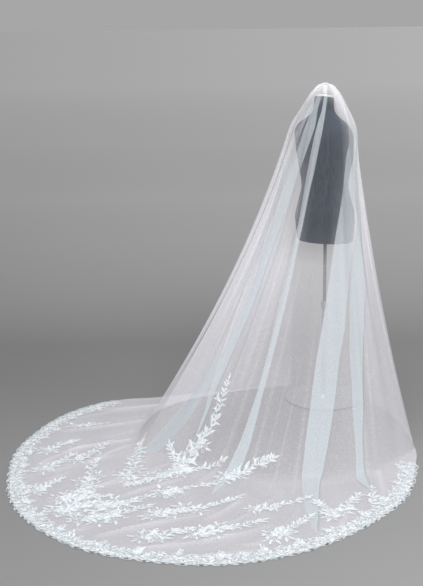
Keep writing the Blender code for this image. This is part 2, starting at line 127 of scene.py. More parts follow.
# Soft ridges in the hung cloth: place at the start and end, along at the start and end, half
# width across, and height in millimetres. Along is 0 at the comb, 1 on the floor line, 2 at the hem.
STREAKS = (
    (0.597, 0.552, 0.47, 0.88, 0.0040, 4.0),
    (0.594, 0.529, 0.33, 0.82, 0.0035, 3.5),
    (0.542, 0.542, 0.74, 0.93, 0.0022, 2.5),
    (0.383, 0.396, 0.74, 1.02, 0.0022, 3.0),
    (0.359, 0.378, 0.72, 1.20, 0.0022, 3.0),
    (0.350, 0.362, 0.20, 0.60, 0.0030, 2.0),
    (0.475, 0.470, 0.10, 0.55, 0.0040, 3.0),
    (0.482, 0.488, 0.30, 0.90, 0.0040, 3.5),
    (0.512, 0.505, 0.45, 1.00, 0.0040, 3.5),
    (0.625, 0.600, 0.25, 0.80, 0.0050, 4.0),
    (0.648, 0.640, 0.15, 0.70, 0.0050, 4.0),
    (0.680, 0.668, 0.20, 0.95, 0.0060, 5.0),
    (0.715, 0.720, 0.10, 0.85, 0.0060, 5.0),
    (0.742, 0.748, 0.30, 1.00, 0.0050, 4.0),
    (0.790, 0.795, 0.10, 0.90, 0.0070, 5.0),
    (0.830, 0.822, 0.30, 1.00, 0.0060, 4.0),
    (0.885, 0.890, 0.10, 0.80, 0.0060, 5.0),
    (0.955, 0.960, 0.20, 0.90, 0.0060, 4.0),
    (0.150, 0.166, 0.10, 0.70, 0.0050, 4.0),
    (0.120, 0.128, 0.30, 0.95, 0.0050, 4.0),
    (0.070, 0.078, 0.10, 0.85, 0.0060, 5.0),
    (0.040, 0.036, 0.30, 0.90, 0.0050, 4.0),
    (0.190, 0.222, 0.30, 1.00, 0.0040, 3.5),
    (0.225, 0.245, 0.50, 1.20, 0.0040, 3.0),
    (0.300, 0.312, 0.55, 1.30, 0.0040, 3.0),
    (0.335, 0.345, 0.60, 1.30, 0.0035, 3.0),
    (0.408, 0.415, 0.50, 1.20, 0.0040, 3.0),
    (0.465, 0.468, 0.60, 1.40, 0.0040, 3.5),
    (0.520, 0.520, 0.80, 1.50, 0.0040, 3.0),
)

# Wrinkles in the cloth on the floor: three places in plan, half width and height in millimetres.
CREASES = (
    ((0.14, 1.77), (0.00, 1.58), (-0.17, 1.34), 16, 9),
    ((-0.05, 1.77), (-0.19, 1.65), (-0.32, 1.49), 14, 8),
    ((0.70, 1.47), (0.57, 1.23), (0.52, 1.09), 14, 7),
    ((0.48, 1.62), (0.37, 1.38), (0.25, 1.11), 18, 8),
    ((0.25, 1.79), (0.22, 1.75), (0.19, 1.67), 12, 6),
    ((0.56, 1.20), (0.54, 1.08), (0.50, 0.95), 12, 7),
    ((0.88, 0.68), (0.74, 0.55), (0.59, 0.41), 16, 8),
    ((0.73, 1.14), (0.60, 0.99), (0.50, 0.87), 14, 8),
    ((-0.23, 1.60), (-0.32, 1.50), (-0.41, 1.35), 13, 6),
    ((-0.37, 1.55), (-0.44, 1.50), (-0.51, 1.35), 12, 6),
    ((-0.15, 1.46), (-0.19, 1.32), (-0.18, 1.15), 14, 7),
    ((0.26, 1.47), (0.18, 1.30), (0.11, 1.15), 15, 7),
    ((0.89, 0.99), (0.76, 0.85), (0.60, 0.67), 16, 8),
    ((0.73, 1.40), (0.72, 1.21), (0.66, 1.06), 13, 6),
    ((-0.65, 1.40), (-0.62, 1.19), (-0.57, 1.00), 14, 7),
    ((-0.69, 0.96), (-0.61, 0.79), (-0.53, 0.67), 14, 7),
    ((-0.18, 1.78), (-0.32, 1.67), (-0.48, 1.53), 14, 6),
    ((0.84, 1.25), (0.70, 1.13), (0.59, 0.91), 9, 5),
    ((0.69, 1.31), (0.55, 1.19), (0.48, 1.01), 8, 5),
    ((0.64, 1.55), (0.59, 1.42), (0.55, 1.29), 9, 5),
    ((0.14, 1.76), (0.03, 1.60), (-0.11, 1.39), 9, 6),
    ((-0.04, 1.77), (-0.15, 1.66), (-0.20, 1.47), 10, 5),
    ((0.93, 0.83), (0.83, 0.68), (0.68, 0.53), 9, 5),
    ((0.68, 0.96), (0.60, 0.84), (0.57, 0.72), 8, 4),
    ((0.89, 0.97), (0.77, 0.87), (0.68, 0.77), 8, 5),
    ((-0.23, 1.49), (-0.28, 1.32), (-0.31, 1.06), 9, 5),
    ((-0.38, 1.57), (-0.44, 1.40), (-0.43, 1.18), 9, 4),
    ((0.74, 1.40), (0.65, 1.33), (0.62, 1.19), 8, 5),
    ((0.28, 1.15), (0.23, 1.03), (0.19, 0.93), 10, 5),
)

# How much of the view one layer of the net stops. The first column is along, the others are the
# cover at the places across the veil named in COVER_PLACES.
COVER_PLACES = (0.00, 0.06, 0.12, 0.20, 0.26, 0.31, 0.40, 0.45, 0.52, 0.60, 0.70, 0.82, 0.93, 1.00)
COVER_ROWS = (
    (0.00, 0.50, 0.50, 0.55, 0.60, 0.50, 0.45, 0.45, 0.50, 0.55, 0.60, 0.60, 0.55, 0.50, 0.50),
    (0.03, 0.30, 0.40, 0.50, 0.45, 0.20, 0.14, 0.14, 0.20, 0.20, 0.26, 0.34, 0.36, 0.36, 0.30),
    (0.06, 0.24, 0.36, 0.46, 0.30, 0.08, 0.05, 0.05, 0.07, 0.09, 0.14, 0.24, 0.28, 0.30, 0.20),
    (0.12, 0.20, 0.36, 0.44, 0.12, 0.06, 0.05, 0.05, 0.06, 0.08, 0.14, 0.26, 0.30, 0.28, 0.14),
    (0.20, 0.20, 0.40, 0.46, 0.14, 0.06, 0.05, 0.05, 0.06, 0.12, 0.28, 0.38, 0.38, 0.30, 0.14),
    (0.38, 0.20, 0.42, 0.48, 0.42, 0.12, 0.05, 0.05, 0.13, 0.32, 0.38, 0.44, 0.44, 0.32, 0.14),
    (0.44, 0.20, 0.42, 0.46, 0.48, 0.24, 0.07, 0.07, 0.20, 0.36, 0.40, 0.46, 0.44, 0.32, 0.14),
    (0.50, 0.20, 0.42, 0.42, 0.44, 0.26, 0.23, 0.25, 0.34, 0.40, 0.42, 0.46, 0.44, 0.32, 0.12),
    (0.62, 0.20, 0.40, 0.36, 0.36, 0.31, 0.24, 0.25, 0.32, 0.35, 0.42, 0.44, 0.42, 0.32, 0.12),
    (0.90, 0.20, 0.38, 0.36, 0.36, 0.34, 0.28, 0.28, 0.28, 0.30, 0.40, 0.42, 0.44, 0.32, 0.12),
    (1.10, 0.40, 0.44, 0.42, 0.40, 0.38, 0.38, 0.37, 0.37, 0.39, 0.41, 0.42, 0.43, 0.43, 0.44),
    (2.00, 0.50, 0.50, 0.48, 0.43, 0.38, 0.38, 0.38, 0.38, 0.38, 0.40, 0.41, 0.42, 0.45, 0.50),
)

# How much of the view a folded band stops, as a share of its own cover: along, share.
FOLD_COVER = np.array((
    (0.00, 0.45), (0.10, 0.52), (0.35, 0.60), (0.50, 0.86), (0.80, 0.96), (1.00, 1.08), (1.30, 1.08),
))

# The dress form's sections: height, half width, half depth and centre in Y.
FORM_SECTIONS = np.array((
    (0.807, 0.138, 0.100, 0.000),
    (0.870, 0.147, 0.104, 0.004),
    (0.930, 0.149, 0.104, 0.008),
    (1.000, 0.132, 0.094, 0.010),
    (1.070, 0.116, 0.086, 0.012),
    (1.140, 0.124, 0.092, 0.014),
    (1.220, 0.140, 0.104, 0.012),
    (1.290, 0.145, 0.096, 0.024),
    (1.340, 0.142, 0.070, 0.040),
    (1.372, 0.118, 0.056, 0.042),
    (1.400, 0.076, 0.052, 0.038),
    (1.422, 0.054, 0.050, 0.035),
    (1.450, 0.047, 0.048, 0.033),
    (1.486, 0.045, 0.047, 0.030),
))
FORM_BOTTOM = float(FORM_SECTIONS[0, 0])


class Side(Enum):
    """Which edge of a folded band lies on top."""

    RIGHT = 1
    LEFT = -1


class Motif(Enum):
    """The kinds of lace motif, in the order of their meshes' names."""

    LEAF = 0
    FLOWER = 1
    PETAL = 2
    RING = 3


@dataclass(frozen=True)
class Band:
    """A stretch of cloth folded flat in three layers; rows hold along, right and left edge."""

    side: Side
    rows: tuple[tuple[float, float, float], ...]
    cover: float = 0.30


# The bands of folded cloth, from the veil's right to its left. A band is shut where both edges meet.
BANDS = (
    Band(Side.LEFT, (
        (0.04, 0.030, 0.030), (0.20, 0.026, 0.044), (0.60, 0.050, 0.062), (0.95, 0.052, 0.052),
    ), 0.25),
    Band(Side.RIGHT, (
        (0.03, 0.060, 0.060), (0.14, 0.090, 0.090), (0.20, 0.108, 0.120), (0.30, 0.138, 0.162),
        (0.39, 0.158, 0.190), (0.46, 0.170, 0.214), (0.54, 0.180, 0.238), (0.61, 0.196, 0.250),
        (0.74, 0.222, 0.256), (0.80, 0.230, 0.255), (0.865, 0.236, 0.256), (0.925, 0.242, 0.255),
        (1.15, 0.248, 0.260), (1.32, 0.252, 0.258), (1.50, 0.255, 0.255),
    )),
    Band(Side.LEFT, (
        (0.03, 0.088, 0.088), (0.07, 0.086, 0.108), (0.128, 0.096, 0.146), (0.19, 0.130, 0.200),
        (0.24, 0.155, 0.224), (0.313, 0.182, 0.260), (0.38, 0.200, 0.278), (0.44, 0.218, 0.290),
        (0.533, 0.244, 0.304), (0.60, 0.258, 0.312), (0.668, 0.266, 0.319), (0.733, 0.276, 0.325),
        (0.796, 0.282, 0.328), (0.851, 0.287, 0.329), (0.918, 0.294, 0.331), (1.02, 0.304, 0.331),
        (1.30, 0.313, 0.331), (1.625, 0.319, 0.328), (1.86, 0.323, 0.323),
    )),
    Band(Side.RIGHT, (
        (0.015, 0.345, 0.345), (0.038, 0.342, 0.392), (0.07, 0.366, 0.414), (0.118, 0.400, 0.446),
        (0.163, 0.411, 0.459), (0.21, 0.418, 0.461), (0.255, 0.422, 0.461), (0.303, 0.427, 0.457),
        (0.348, 0.428, 0.453), (0.393, 0.428, 0.449), (0.43, 0.429, 0.449), (0.46, 0.429, 0.449),
        (0.533, 0.427, 0.449), (0.603, 0.427, 0.448), (0.671, 0.428, 0.443), (0.738, 0.428, 0.441),
        (0.803, 0.428, 0.440), (0.866, 0.427, 0.442), (0.926, 0.426, 0.444), (0.99, 0.428, 0.450),
        (1.10, 0.433, 0.449), (1.33, 0.440, 0.440),
    ), 0.33),
    Band(Side.LEFT, (
        (0.015, 0.450, 0.450), (0.043, 0.436, 0.514), (0.07, 0.455, 0.530), (0.118, 0.464, 0.552),
        (0.163, 0.483, 0.560), (0.21, 0.496, 0.566), (0.24, 0.502, 0.567), (0.30, 0.514, 0.570),
        (0.38, 0.530, 0.576), (0.466, 0.541, 0.580), (0.541, 0.538, 0.569), (0.613, 0.537, 0.569),
        (0.685, 0.540, 0.568), (0.754, 0.540, 0.568), (0.821, 0.541, 0.558),
        (0.911, 0.535, 0.542), (0.99, 0.534, 0.534),
    )),
    Band(Side.RIGHT, (
        (0.04, 0.532, 0.532), (0.08, 0.549, 0.588), (0.114, 0.566, 0.608), (0.143, 0.574, 0.628),
        (0.169, 0.584, 0.640), (0.25, 0.592, 0.648), (0.35, 0.602, 0.640), (0.50, 0.606, 0.622),
        (0.62, 0.602, 0.602), (0.68, 0.576, 0.576), (0.757, 0.573, 0.588), (0.826, 0.564, 0.596),
        (0.896, 0.570, 0.610), (0.966, 0.589, 0.628), (1.03, 0.612, 0.638), (1.12, 0.634, 0.634),
    ), 0.25),
    Band(Side.LEFT, (
        (0.05, 0.690, 0.690), (0.20, 0.692, 0.712), (0.55, 0.700, 0.716), (0.90, 0.706, 0.706),
    ), 0.25),
    Band(Side.RIGHT, (
        (0.05, 0.810, 0.810), (0.25, 0.806, 0.828), (0.60, 0.812, 0.832), (0.95, 0.818, 0.818),
    ), 0.25),
    Band(Side.LEFT, (
        (0.05, 0.940, 0.940), (0.30, 0.936, 0.952), (0.70, 0.930, 0.944), (0.98, 0.936, 0.936),
    ), 0.25),
)


def linear(code: str) -> tuple[float, float, float, float]:
    """Turn an sRGB hex colour to the linear values that a shader takes.

    Args:
        code: Six hex digits.

    Returns:
        Red, green, blue and an alpha of 1.
    """
    parts = [int(code[at : at + 2], 16) / 255 for at in (0, 2, 4)]
    return (*(c / 12.92 if c <= 0.04045 else ((c + 0.055) / 1.055) ** 2.4 for c in parts), 1.0)


def add_node(tree: Tree, kind: str, settings: dict | None = None, inputs: dict | None = None) -> Node:
    """Add a node with its settings, values and links.

    Args:
        tree: The node tree that takes it.
        kind: The node's type name.
        settings: Properties of the node.
        inputs: A value or an output socket for each input, by name or index.

    Returns:
        The node.
    """
    made = tree.nodes.new(kind)
    for name, value in (settings or {}).items():
        setattr(made, name, value)
    for name, value in (inputs or {}).items():
        socket = made.inputs[name]
        if isinstance(value, Socket):
            tree.links.new(value, socket)
        else:
            socket.default_value = value
    return made


def attribute(tree: Tree, name: str) -> Socket:
    """Read one of the mesh's own values in a shader."""
    return add_node(tree, "ShaderNodeAttribute", {"attribute_name": name}).outputs["Fac"]


def noise(tree: Tree, place: Socket, scale: float, detail: float, roughness: float = 0.5) -> Socket:
    """A noise pattern from 0 to 1.

    Args:
        tree: The material's tree.
        place: Where the pattern is read.
        scale: How many features there are in a metre.
        detail: How many finer copies it has.
        roughness: How strong those are.

    Returns:
        The pattern.
    """
    return add_node(tree, "ShaderNodeTexNoise", None, {
        "Vector": place, "Scale": scale, "Detail": detail, "Roughness": roughness,
    }).outputs["Fac"]


def remap(tree: Tree, value: Socket, low: float, high: float, start: float, stop: float) -> Socket:
    """Turn the range from low to high into the range from start to stop."""
    return add_node(tree, "ShaderNodeMapRange", None, {
        "Value": value, "From Min": low, "From Max": high, "To Min": start, "To Max": stop,
    }).outputs[0]


def maths(tree: Tree, operation: str, *values: Socket | float) -> Socket:
    """Work out one number from others."""
    return add_node(tree, "ShaderNodeMath", {"operation": operation}, dict(enumerate(values))).outputs[0]


def vectors(tree: Tree, operation: str, first: Socket, second: Socket | float | tuple) -> Socket:
    """Add two vectors, scale one, or take their dot product."""
    made = add_node(tree, "ShaderNodeVectorMath", {"operation": operation}, {
        0: first, "Scale" if operation == "SCALE" else 1: second,
    })
    return made.outputs["Value" if operation == "DOT_PRODUCT" else "Vector"]


def open_tree(name: str, inputs: dict[str, str], output: str) -> tuple[Tree, dict]:
    """Start a Geometry Nodes tree.

    Args:
        name: The tree's name.
        inputs: The kind of each named input.
        output: The name of the geometry that comes out.

    Returns:
        The tree and its input sockets.
    """
    tree = bpy.data.node_groups.new(name, "GeometryNodeTree")
    for label, kind in inputs.items():
        tree.interface.new_socket(label, in_out="INPUT", socket_type=f"NodeSocket{kind}")
    tree.interface.new_socket(output, in_out="OUTPUT", socket_type="NodeSocketGeometry")
    return tree, add_node(tree, "NodeGroupInput").outputs


def joined(tree: Tree, *parts: Socket) -> Socket:
    """Join geometries, in the order given."""
    made = add_node(tree, "GeometryNodeJoinGeometry")
    for part in parts:
        tree.links.new(part, made.inputs[0])
    return made.outputs[0]


def wires(tree: Tree, curve: Socket, sides: int, radius: Socket) -> Socket:
    """Give curves the thickness of a wire or cord."""
    ring = add_node(tree, "GeometryNodeCurvePrimitiveCircle", None, {"Resolution": sides, "Radius": radius})
    return add_node(tree, "GeometryNodeCurveToMesh", None, {
        "Curve": curve, "Profile Curve": ring.outputs[0], "Fill Caps": True,
    }).outputs[0]


def close_tree(tree: Tree, geometry: Socket, material: Socket) -> None:
    """Give the geometry its material and send it out of the tree."""
    dressed = add_node(tree, "GeometryNodeSetMaterial", None, {"Geometry": geometry, "Material": material})
    add_node(tree, "NodeGroupOutput", None, {0: dressed.outputs[0]})


def smooth_between(low: float, high: float, value: Array) -> Array:
    """A soft step from 0 at low to 1 at high."""
    t = np.clip((value - low) / (high - low), 0, 1)
    return t * t * (3 - 2 * t)


def spline(table: Array, place: Array) -> Array:
    """Read a smooth curve through a table's rows.

    Args:
        table: One row for each point of the curve.
        place: Where to read it, counted in rows.

    Returns:
        One row of the table's columns for each place.
    """
    last = len(table) - 1
    longer = np.vstack([2 * table[0] - table[1], table, 2 * table[-1] - table[-2]])
    row = np.clip(np.floor(place).astype(int), 0, last - 1)
    t = (place - row)[..., None]
    before, start, end, after = (longer[row + step] for step in range(4))
    return 0.5 * (
        2 * start + (end - before) * t + (2 * before - 5 * start + 4 * end - after) * t * t
        + (3 * start - before - 3 * end + after) * t * t * t
    )


def smooth_table(value: Array, knots: Array, heights: Array) -> Array:
    """Read a table with a smooth curve that keeps between its neighbours.

    Args:
        value: Where to read it.
        knots: The rising column that value is read against.
        heights: The column to read.

    Returns:
        The heights at value.
    """
    rise = np.diff(heights) / np.diff(knots)
    slope = np.zeros(len(knots))
    both = rise[:-1] * rise[1:]
    slope[1:-1] = np.where(both > 0, 2 * both / np.where(both > 0, rise[:-1] + rise[1:], 1), 0)
    value = np.clip(value, knots[0], knots[-1])
    row = np.clip(np.searchsorted(knots, value) - 1, 0, len(knots) - 2)
    width = knots[row + 1] - knots[row]
    t = (value - knots[row]) / width
    return (
        heights[row] * (1 + 2 * t) * (1 - t) ** 2 + slope[row] * width * t * (1 - t) ** 2
        + heights[row + 1] * t * t * (3 - 2 * t) + slope[row + 1] * width * t * t * (t - 1)
    )


def unit(vectors: Array) -> Array:
    """The same directions with a length of 1."""
    return vectors / np.maximum(np.linalg.norm(vectors, axis=-1, keepdims=True), 1e-9)


def linked(name: str, data: bpy.types.ID) -> Solid:
    """Put data in the scene as an object."""
    made = bpy.data.objects.new(name, data)
    bpy.context.scene.collection.objects.link(made)
    return made


def new_object(
    name: str, points: Array, faces: list, material: Material | None = None, edges: list | None = None
) -> Solid:
    """Make a mesh object from points and faces.

    Args:
        name: The object's name.
        points: One row of X, Y and Z for each point.
        faces: Tuples of point numbers.
        material: What it is made of.
        edges: Pairs of point numbers, for a line.

    Returns:
        The object, linked to the scene.
    """
    mesh = bpy.data.meshes.new(name)
    mesh.from_pydata(np.asarray(points, dtype=float).reshape(-1, 3).tolist(), edges or [], faces)
    if material:
        mesh.materials.append(material)
    mesh.shade_smooth()
    return linked(name, mesh)


def set_values(obj: Solid, name: str, kind: str, values: Array) -> None:
    """Store one value for each point of a mesh.

    Args:
        obj: The mesh object.
        name: The attribute's name.
        kind: FLOAT, INT or FLOAT_VECTOR.
        values: The values in the order of the points.
    """
    made = obj.data.attributes.new(name, kind, "POINT")
    flat = np.asarray(values).astype(np.int32 if kind == "INT" else np.float32).ravel()
    made.data.foreach_set("vector" if kind == "FLOAT_VECTOR" else "value", flat)


def grid_faces(rows: int, columns: int, closed: bool = False) -> list[tuple[int, int, int, int]]:
    """The quads of points stored row by row.

    Args:
        rows: How many rows there are.
        columns: How many points are in a row.
        closed: Whether each row is a ring.

    Returns:
        The faces.
    """
    faces = []
    for r in range(rows - 1):
        for c in range(columns if closed else columns - 1):
            n = (c + 1) % columns
            faces.append((r * columns + c, r * columns + n, (r + 1) * columns + n, (r + 1) * columns + c))
    return faces


def baked(name: str, source: Solid, tree: Tree, given: dict) -> Solid:
    """Run a Geometry Nodes tree and keep its result as a plain mesh.

    Args:
        name: The result's name.
        source: The object that the tree starts from. It is removed.
        tree: The tree.
        given: A value for each named input; the others are left.

    Returns:
        The new object.
    """
    grow = source.modifiers.new("tree", "NODES")
    grow.node_group = tree
    for item in tree.interface.items_tree:
        if item.in_out == "INPUT" and given.get(item.name) is not None:
            grow[item.identifier] = given[item.name]
    mesh = bpy.data.meshes.new_from_object(source.evaluated_get(bpy.context.evaluated_depsgraph_get()))
    source.modifiers.clear()
    mesh.name = name
    bpy.data.objects.remove(source, do_unlink=True)
    return linked(name, mesh)


def capped(points: Array, around: int, foot: Array, top: Array) -> tuple[Array, list]:
    """Close a stack of rings with a fan at each end.

    Args:
        points: The rings, from the bottom up.
        around: How many points a ring has.
        foot: The middle of the lower end.
        top: The middle of the upper end.

    Returns:
        All the points and the faces.
    """
    count = len(points)
    faces: list = grid_faces(count // around, around, True)
    for c in range(around):
        n = (c + 1) % around
        faces += [(n, c, count), (count - around + c, count - around + n, count + 1)]
    return np.vstack([points, foot, top]), faces


def finish_piece(obj: Solid, slot: str, *nodes: str) -> None:
    """Hand a finished piece to the frame and report it.

    Args:
        obj: The piece, at the origin.
        slot: The record's material slot; not used.
        nodes: The CAD nodes that it stands for.
    """
    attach(obj, BODY)
    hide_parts(*nodes)
    triangles = sum(len(face.vertices) - 2 for face in obj.data.polygons)
    log.info("%s: %d triangles, for %d CAD nodes", obj.name, triangles, len(nodes))


@dataclass(frozen=True)
class Finish:
    """A surface: its common name, colour and how it answers the light."""

    name: str
    colour: str
    roughness: float
    metallic: float = 0.0
    ior: float = 1.5
    sheen: float = 0.0
    coat: float = 0.0

    def build(self) -> Material:
        """Make the material with its pattern.

        Returns:
            The material.
        """
        made = bpy.data.materials.new(self.name)
        made.use_nodes = True
        tree = made.node_tree
        shader = tree.nodes["Principled BSDF"]
        for name, value in (
            ("Base Color", linear(self.colour)), ("Roughness", self.roughness), ("Metallic", self.metallic),
            ("IOR", self.ior), ("Sheen Weight", self.sheen), ("Coat Weight", self.coat),
        ):
            shader.inputs[name].default_value = value
        place = add_node(tree, "ShaderNodeTexCoord").outputs["Object"]
        self.pattern(tree, shader, place)
        return made

    def pattern(self, tree: Tree, shader: Node, place: Socket) -> None:
        """Leave the surface plain; each kind of finish adds its own detail."""

    def tinted(self, tree: Tree, shader: Node, factor: Socket, other: str) -> None:
        """Mix the colour with another one.

        Args:
            tree: The material's tree.
            shader: Its shader.
            factor: How much of the other colour shows.
            other: The other colour, in hex.
        """
        mix = add_node(tree, "ShaderNodeMix", {"data_type": "RGBA"}, {
            "Factor": factor, 6: linear(self.colour), 7: linear(other),
        })
        tree.links.new(mix.outputs[2], shader.inputs["Base Color"])

    def bumped(self, tree: Tree, shader: Node, height: Socket, depth: float) -> None:
        """Turn a height pattern to a bump.

        Args:
            tree: The material's tree.
            shader: Its shader.
            height: The pattern.
            depth: How deep it is, in metres.
        """
        bump = add_node(tree, "ShaderNodeBump", None, {"Strength": 1.0, "Distance": depth, "Height": height})
        tree.links.new(bump.outputs["Normal"], shader.inputs["Normal"])


@dataclass(frozen=True)
class NetFinish(Finish):
    """Bobbinet: fine threads round open cells. The cells are drawn 4 mm wide, coarser than real."""

    cell: float = 4 * MM
    # The colour of the painted shade laid on the folded bands.
    fold_shade_colour: str = "d8dfe4"

    def pattern(self, tree: Tree, shader: Node, place: Socket) -> None:
        """Let the net's cover follow how closely the cloth is gathered, thread by thread."""
        cells = add_node(tree, "ShaderNodeTexVoronoi", {"feature": "DISTANCE_TO_EDGE"}, {
            "Vector": place, "Scale": 1 / self.cell,
        })
        thread = remap(tree, cells.outputs["Distance"], 0.03, 0.16, 1.35, 0.86)
        alpha = add_node(tree, "ShaderNodeMath", {"operation": "MULTIPLY", "use_clamp": True}, {
            0: attribute(tree, "cover"), 1: thread,
        })
        tree.links.new(alpha.outputs[0], shader.inputs["Alpha"])
        # Painted shade: the folded bands are tinted darker and cooler, for the shade between their layers.
        self.tinted(tree, shader, attribute(tree, "folded"), self.fold_shade_colour)


@dataclass(frozen=True)
class ThreadFinish(Finish):
    """Corded lace: matt cotton thread, close stitches about 1.2 mm wide, shaded hollows between cords.

    The hollows are drawn 9 mm apart, coarser than real, so that they show.
    """

    stitch: float = 1.2 * MM
    cord: float = 9 * MM
    # The colour of the painted shade in the hollows between cords.
    hollow_shade_colour: str = "b4c0c5"

    def pattern(self, tree: Tree, shader: Node, place: Socket) -> None:
        """Add the stitches' relief and the open places of the net ground."""
        self.bumped(tree, shader, noise(tree, place, 0.5 / self.stitch, 2.0, 0.6), 0.5 * self.stitch)
        # Painted shade: the hollows between cords are tinted darker, in a noise pattern a cord apart.
        hollows = noise(tree, place, 1 / self.cord, 2.0, 0.6)
        self.tinted(tree, shader, remap(tree, hollows, 0.40, 0.56, 0.7, 0.0), self.hollow_shade_colour)
        tree.links.new(attribute(tree, "cover"), shader.inputs["Alpha"])


@dataclass(frozen=True)
class JerseyFinish(Finish):
    """Knitted jersey stretched over the form: fine upright ribs, drawn 3 mm wide, and a soft nap."""

    rib: float = 3 * MM
    depth: float = 0.6 * MM
    rib_colour: str = "283b4a"

    def pattern(self, tree: Tree, shader: Node, place: Socket) -> None:
        """Add upright ribs and faint upright streaks."""
        stretch = add_node(tree, "ShaderNodeMapping", None, {
            "Vector": place, "Scale": (1 / (2 * self.rib), 1 / (2 * self.rib), 6.0),
        })
        ribs = noise(tree, stretch.outputs[0], 1.0, 3.0, 0.65)
        self.tinted(tree, shader, remap(tree, ribs, 0.3, 0.7, 0.0, 1.0), self.rib_colour)
        self.bumped(tree, shader, ribs, self.depth)


@dataclass(frozen=True)
class BrushedFinish(Finish):
    """Drawn and polished metal tube: fine marks along it, 0.5 mm apart."""

    mark: float = 0.5 * MM
    depth: float = 0.02 * MM

    def pattern(self, tree: Tree, shader: Node, place: Socket) -> None:
        """Add the drawing marks to the roughness and the relief."""
        stretch = add_node(tree, "ShaderNodeMapping", None, {
            "Vector": place, "Scale": (1 / self.mark, 1 / self.mark, 12.0),
        })
        marks = noise(tree, stretch.outputs[0], 1.0, 2.0)
        rough = remap(tree, marks, 0.0, 1.0, 0.7 * self.roughness, 1.4 * self.roughness)
        tree.links.new(rough, shader.inputs["Roughness"])
        self.bumped(tree, shader, marks, self.depth)


@dataclass(frozen=True)
class SpeckledFinish(Finish):
    """A moulded, cast or lacquered surface: a fine even grain of the size given."""

    grain: float = 1.0 * MM
    depth: float = 0.05 * MM
    other: str = "ffffff"

    def pattern(self, tree: Tree, shader: Node, place: Socket) -> None:
        """Add the grain's relief and a slight change of tone."""
        grain = noise(tree, place, 1 / self.grain, 3.0)
        self.tinted(tree, shader, remap(tree, grain, 0.35, 0.7, 0.0, 0.6), self.other)
        self.bumped(tree, shader, grain, self.depth)


@dataclass(frozen=True)
class ClearFinish(Finish):
    """Polished plate glass: clear on its faces, darker at its rim by painted shade, with fine wear."""

    scratch: float = 9 * MM
    face_cover: float = 0.38
    rim_cover: float = 0.95
    worn_roughness: float = 0.12
    # The colour of the painted shade, strongest on the upright rim.
    rim_shade_colour: str = "59636a"

    def pattern(self, tree: Tree, shader: Node, place: Socket) -> None:
        """Make the polish slightly uneven and let light pass through the faces."""
        normal = add_node(tree, "ShaderNodeNewGeometry").outputs["Normal"]
        upright = add_node(tree, "ShaderNodeSeparateXYZ", None, {0: normal}).outputs["Z"]
        # Painted shade: the tint follows how upright the surface is, from a little on the flat faces to
        # nearly full on the rim; the same share sets how opaque it is.
        cover = remap(tree, maths(tree, "ABSOLUTE", upright), 0.0, 1.0, self.rim_cover, self.face_cover)
        tree.links.new(cover, shader.inputs["Alpha"])
        self.tinted(tree, shader, cover, self.rim_shade_colour)
        wear = noise(tree, place, 1 / self.scratch, 5.0)
        rough = remap(tree, wear, 0.4, 0.8, self.roughness, self.worn_roughness)
        tree.links.new(rough, shader.inputs["Roughness"])


# Soft tulle: white nylon net, matt with a slight silk sheen; its cover follows the gathers.
TULLE = NetFinish("soft nylon tulle", "e6e4ea", 0.75, sheen=0.08)
# Corded lace: lighter than the net, because its threads lie close together.
LACE = ThreadFinish("corded cotton lace", "e7ebee", 0.85, sheen=0.1)
# Cotton jersey, dyed charcoal: dark and matt, with a soft nap that lightens its edges.
JERSEY = JerseyFinish("charcoal cotton jersey", "12202b", 0.9, sheen=0.05)
# Lacquered wood: satin off-white paint with a trace of brush texture.
LACQUER = SpeckledFinish("ivory lacquered beech", "dcdcd6", 0.38, coat=0.25, grain=3 * MM, other="e8e8e2")
# Chromed steel tube: bright mirror with faint drawing marks.
CHROME = BrushedFinish("polished chromed steel", "c6c9cd", 0.12, metallic=1.0)
# Blackened steel tube: dark satin.
DARK_STEEL = BrushedFinish("blackened satin steel", "63676e", 0.26, metallic=1.0)
# ABS: moulded grey plastic with a fine eroded grain.
PLASTIC = SpeckledFinish("grey moulded abs", "7b7e83", 0.45, grain=0.8 * MM, other="8a8d92")
# Float glass: clear plate with a ground and polished edge.
GLASS = ClearFinish("polished float glass", "e4ecec", 0.03, ior=1.52)
# Stainless steel wire and bar: satin.
COMB_STEEL = BrushedFinish("satin stainless steel", "c0c2c4", 0.25, metallic=1.0)


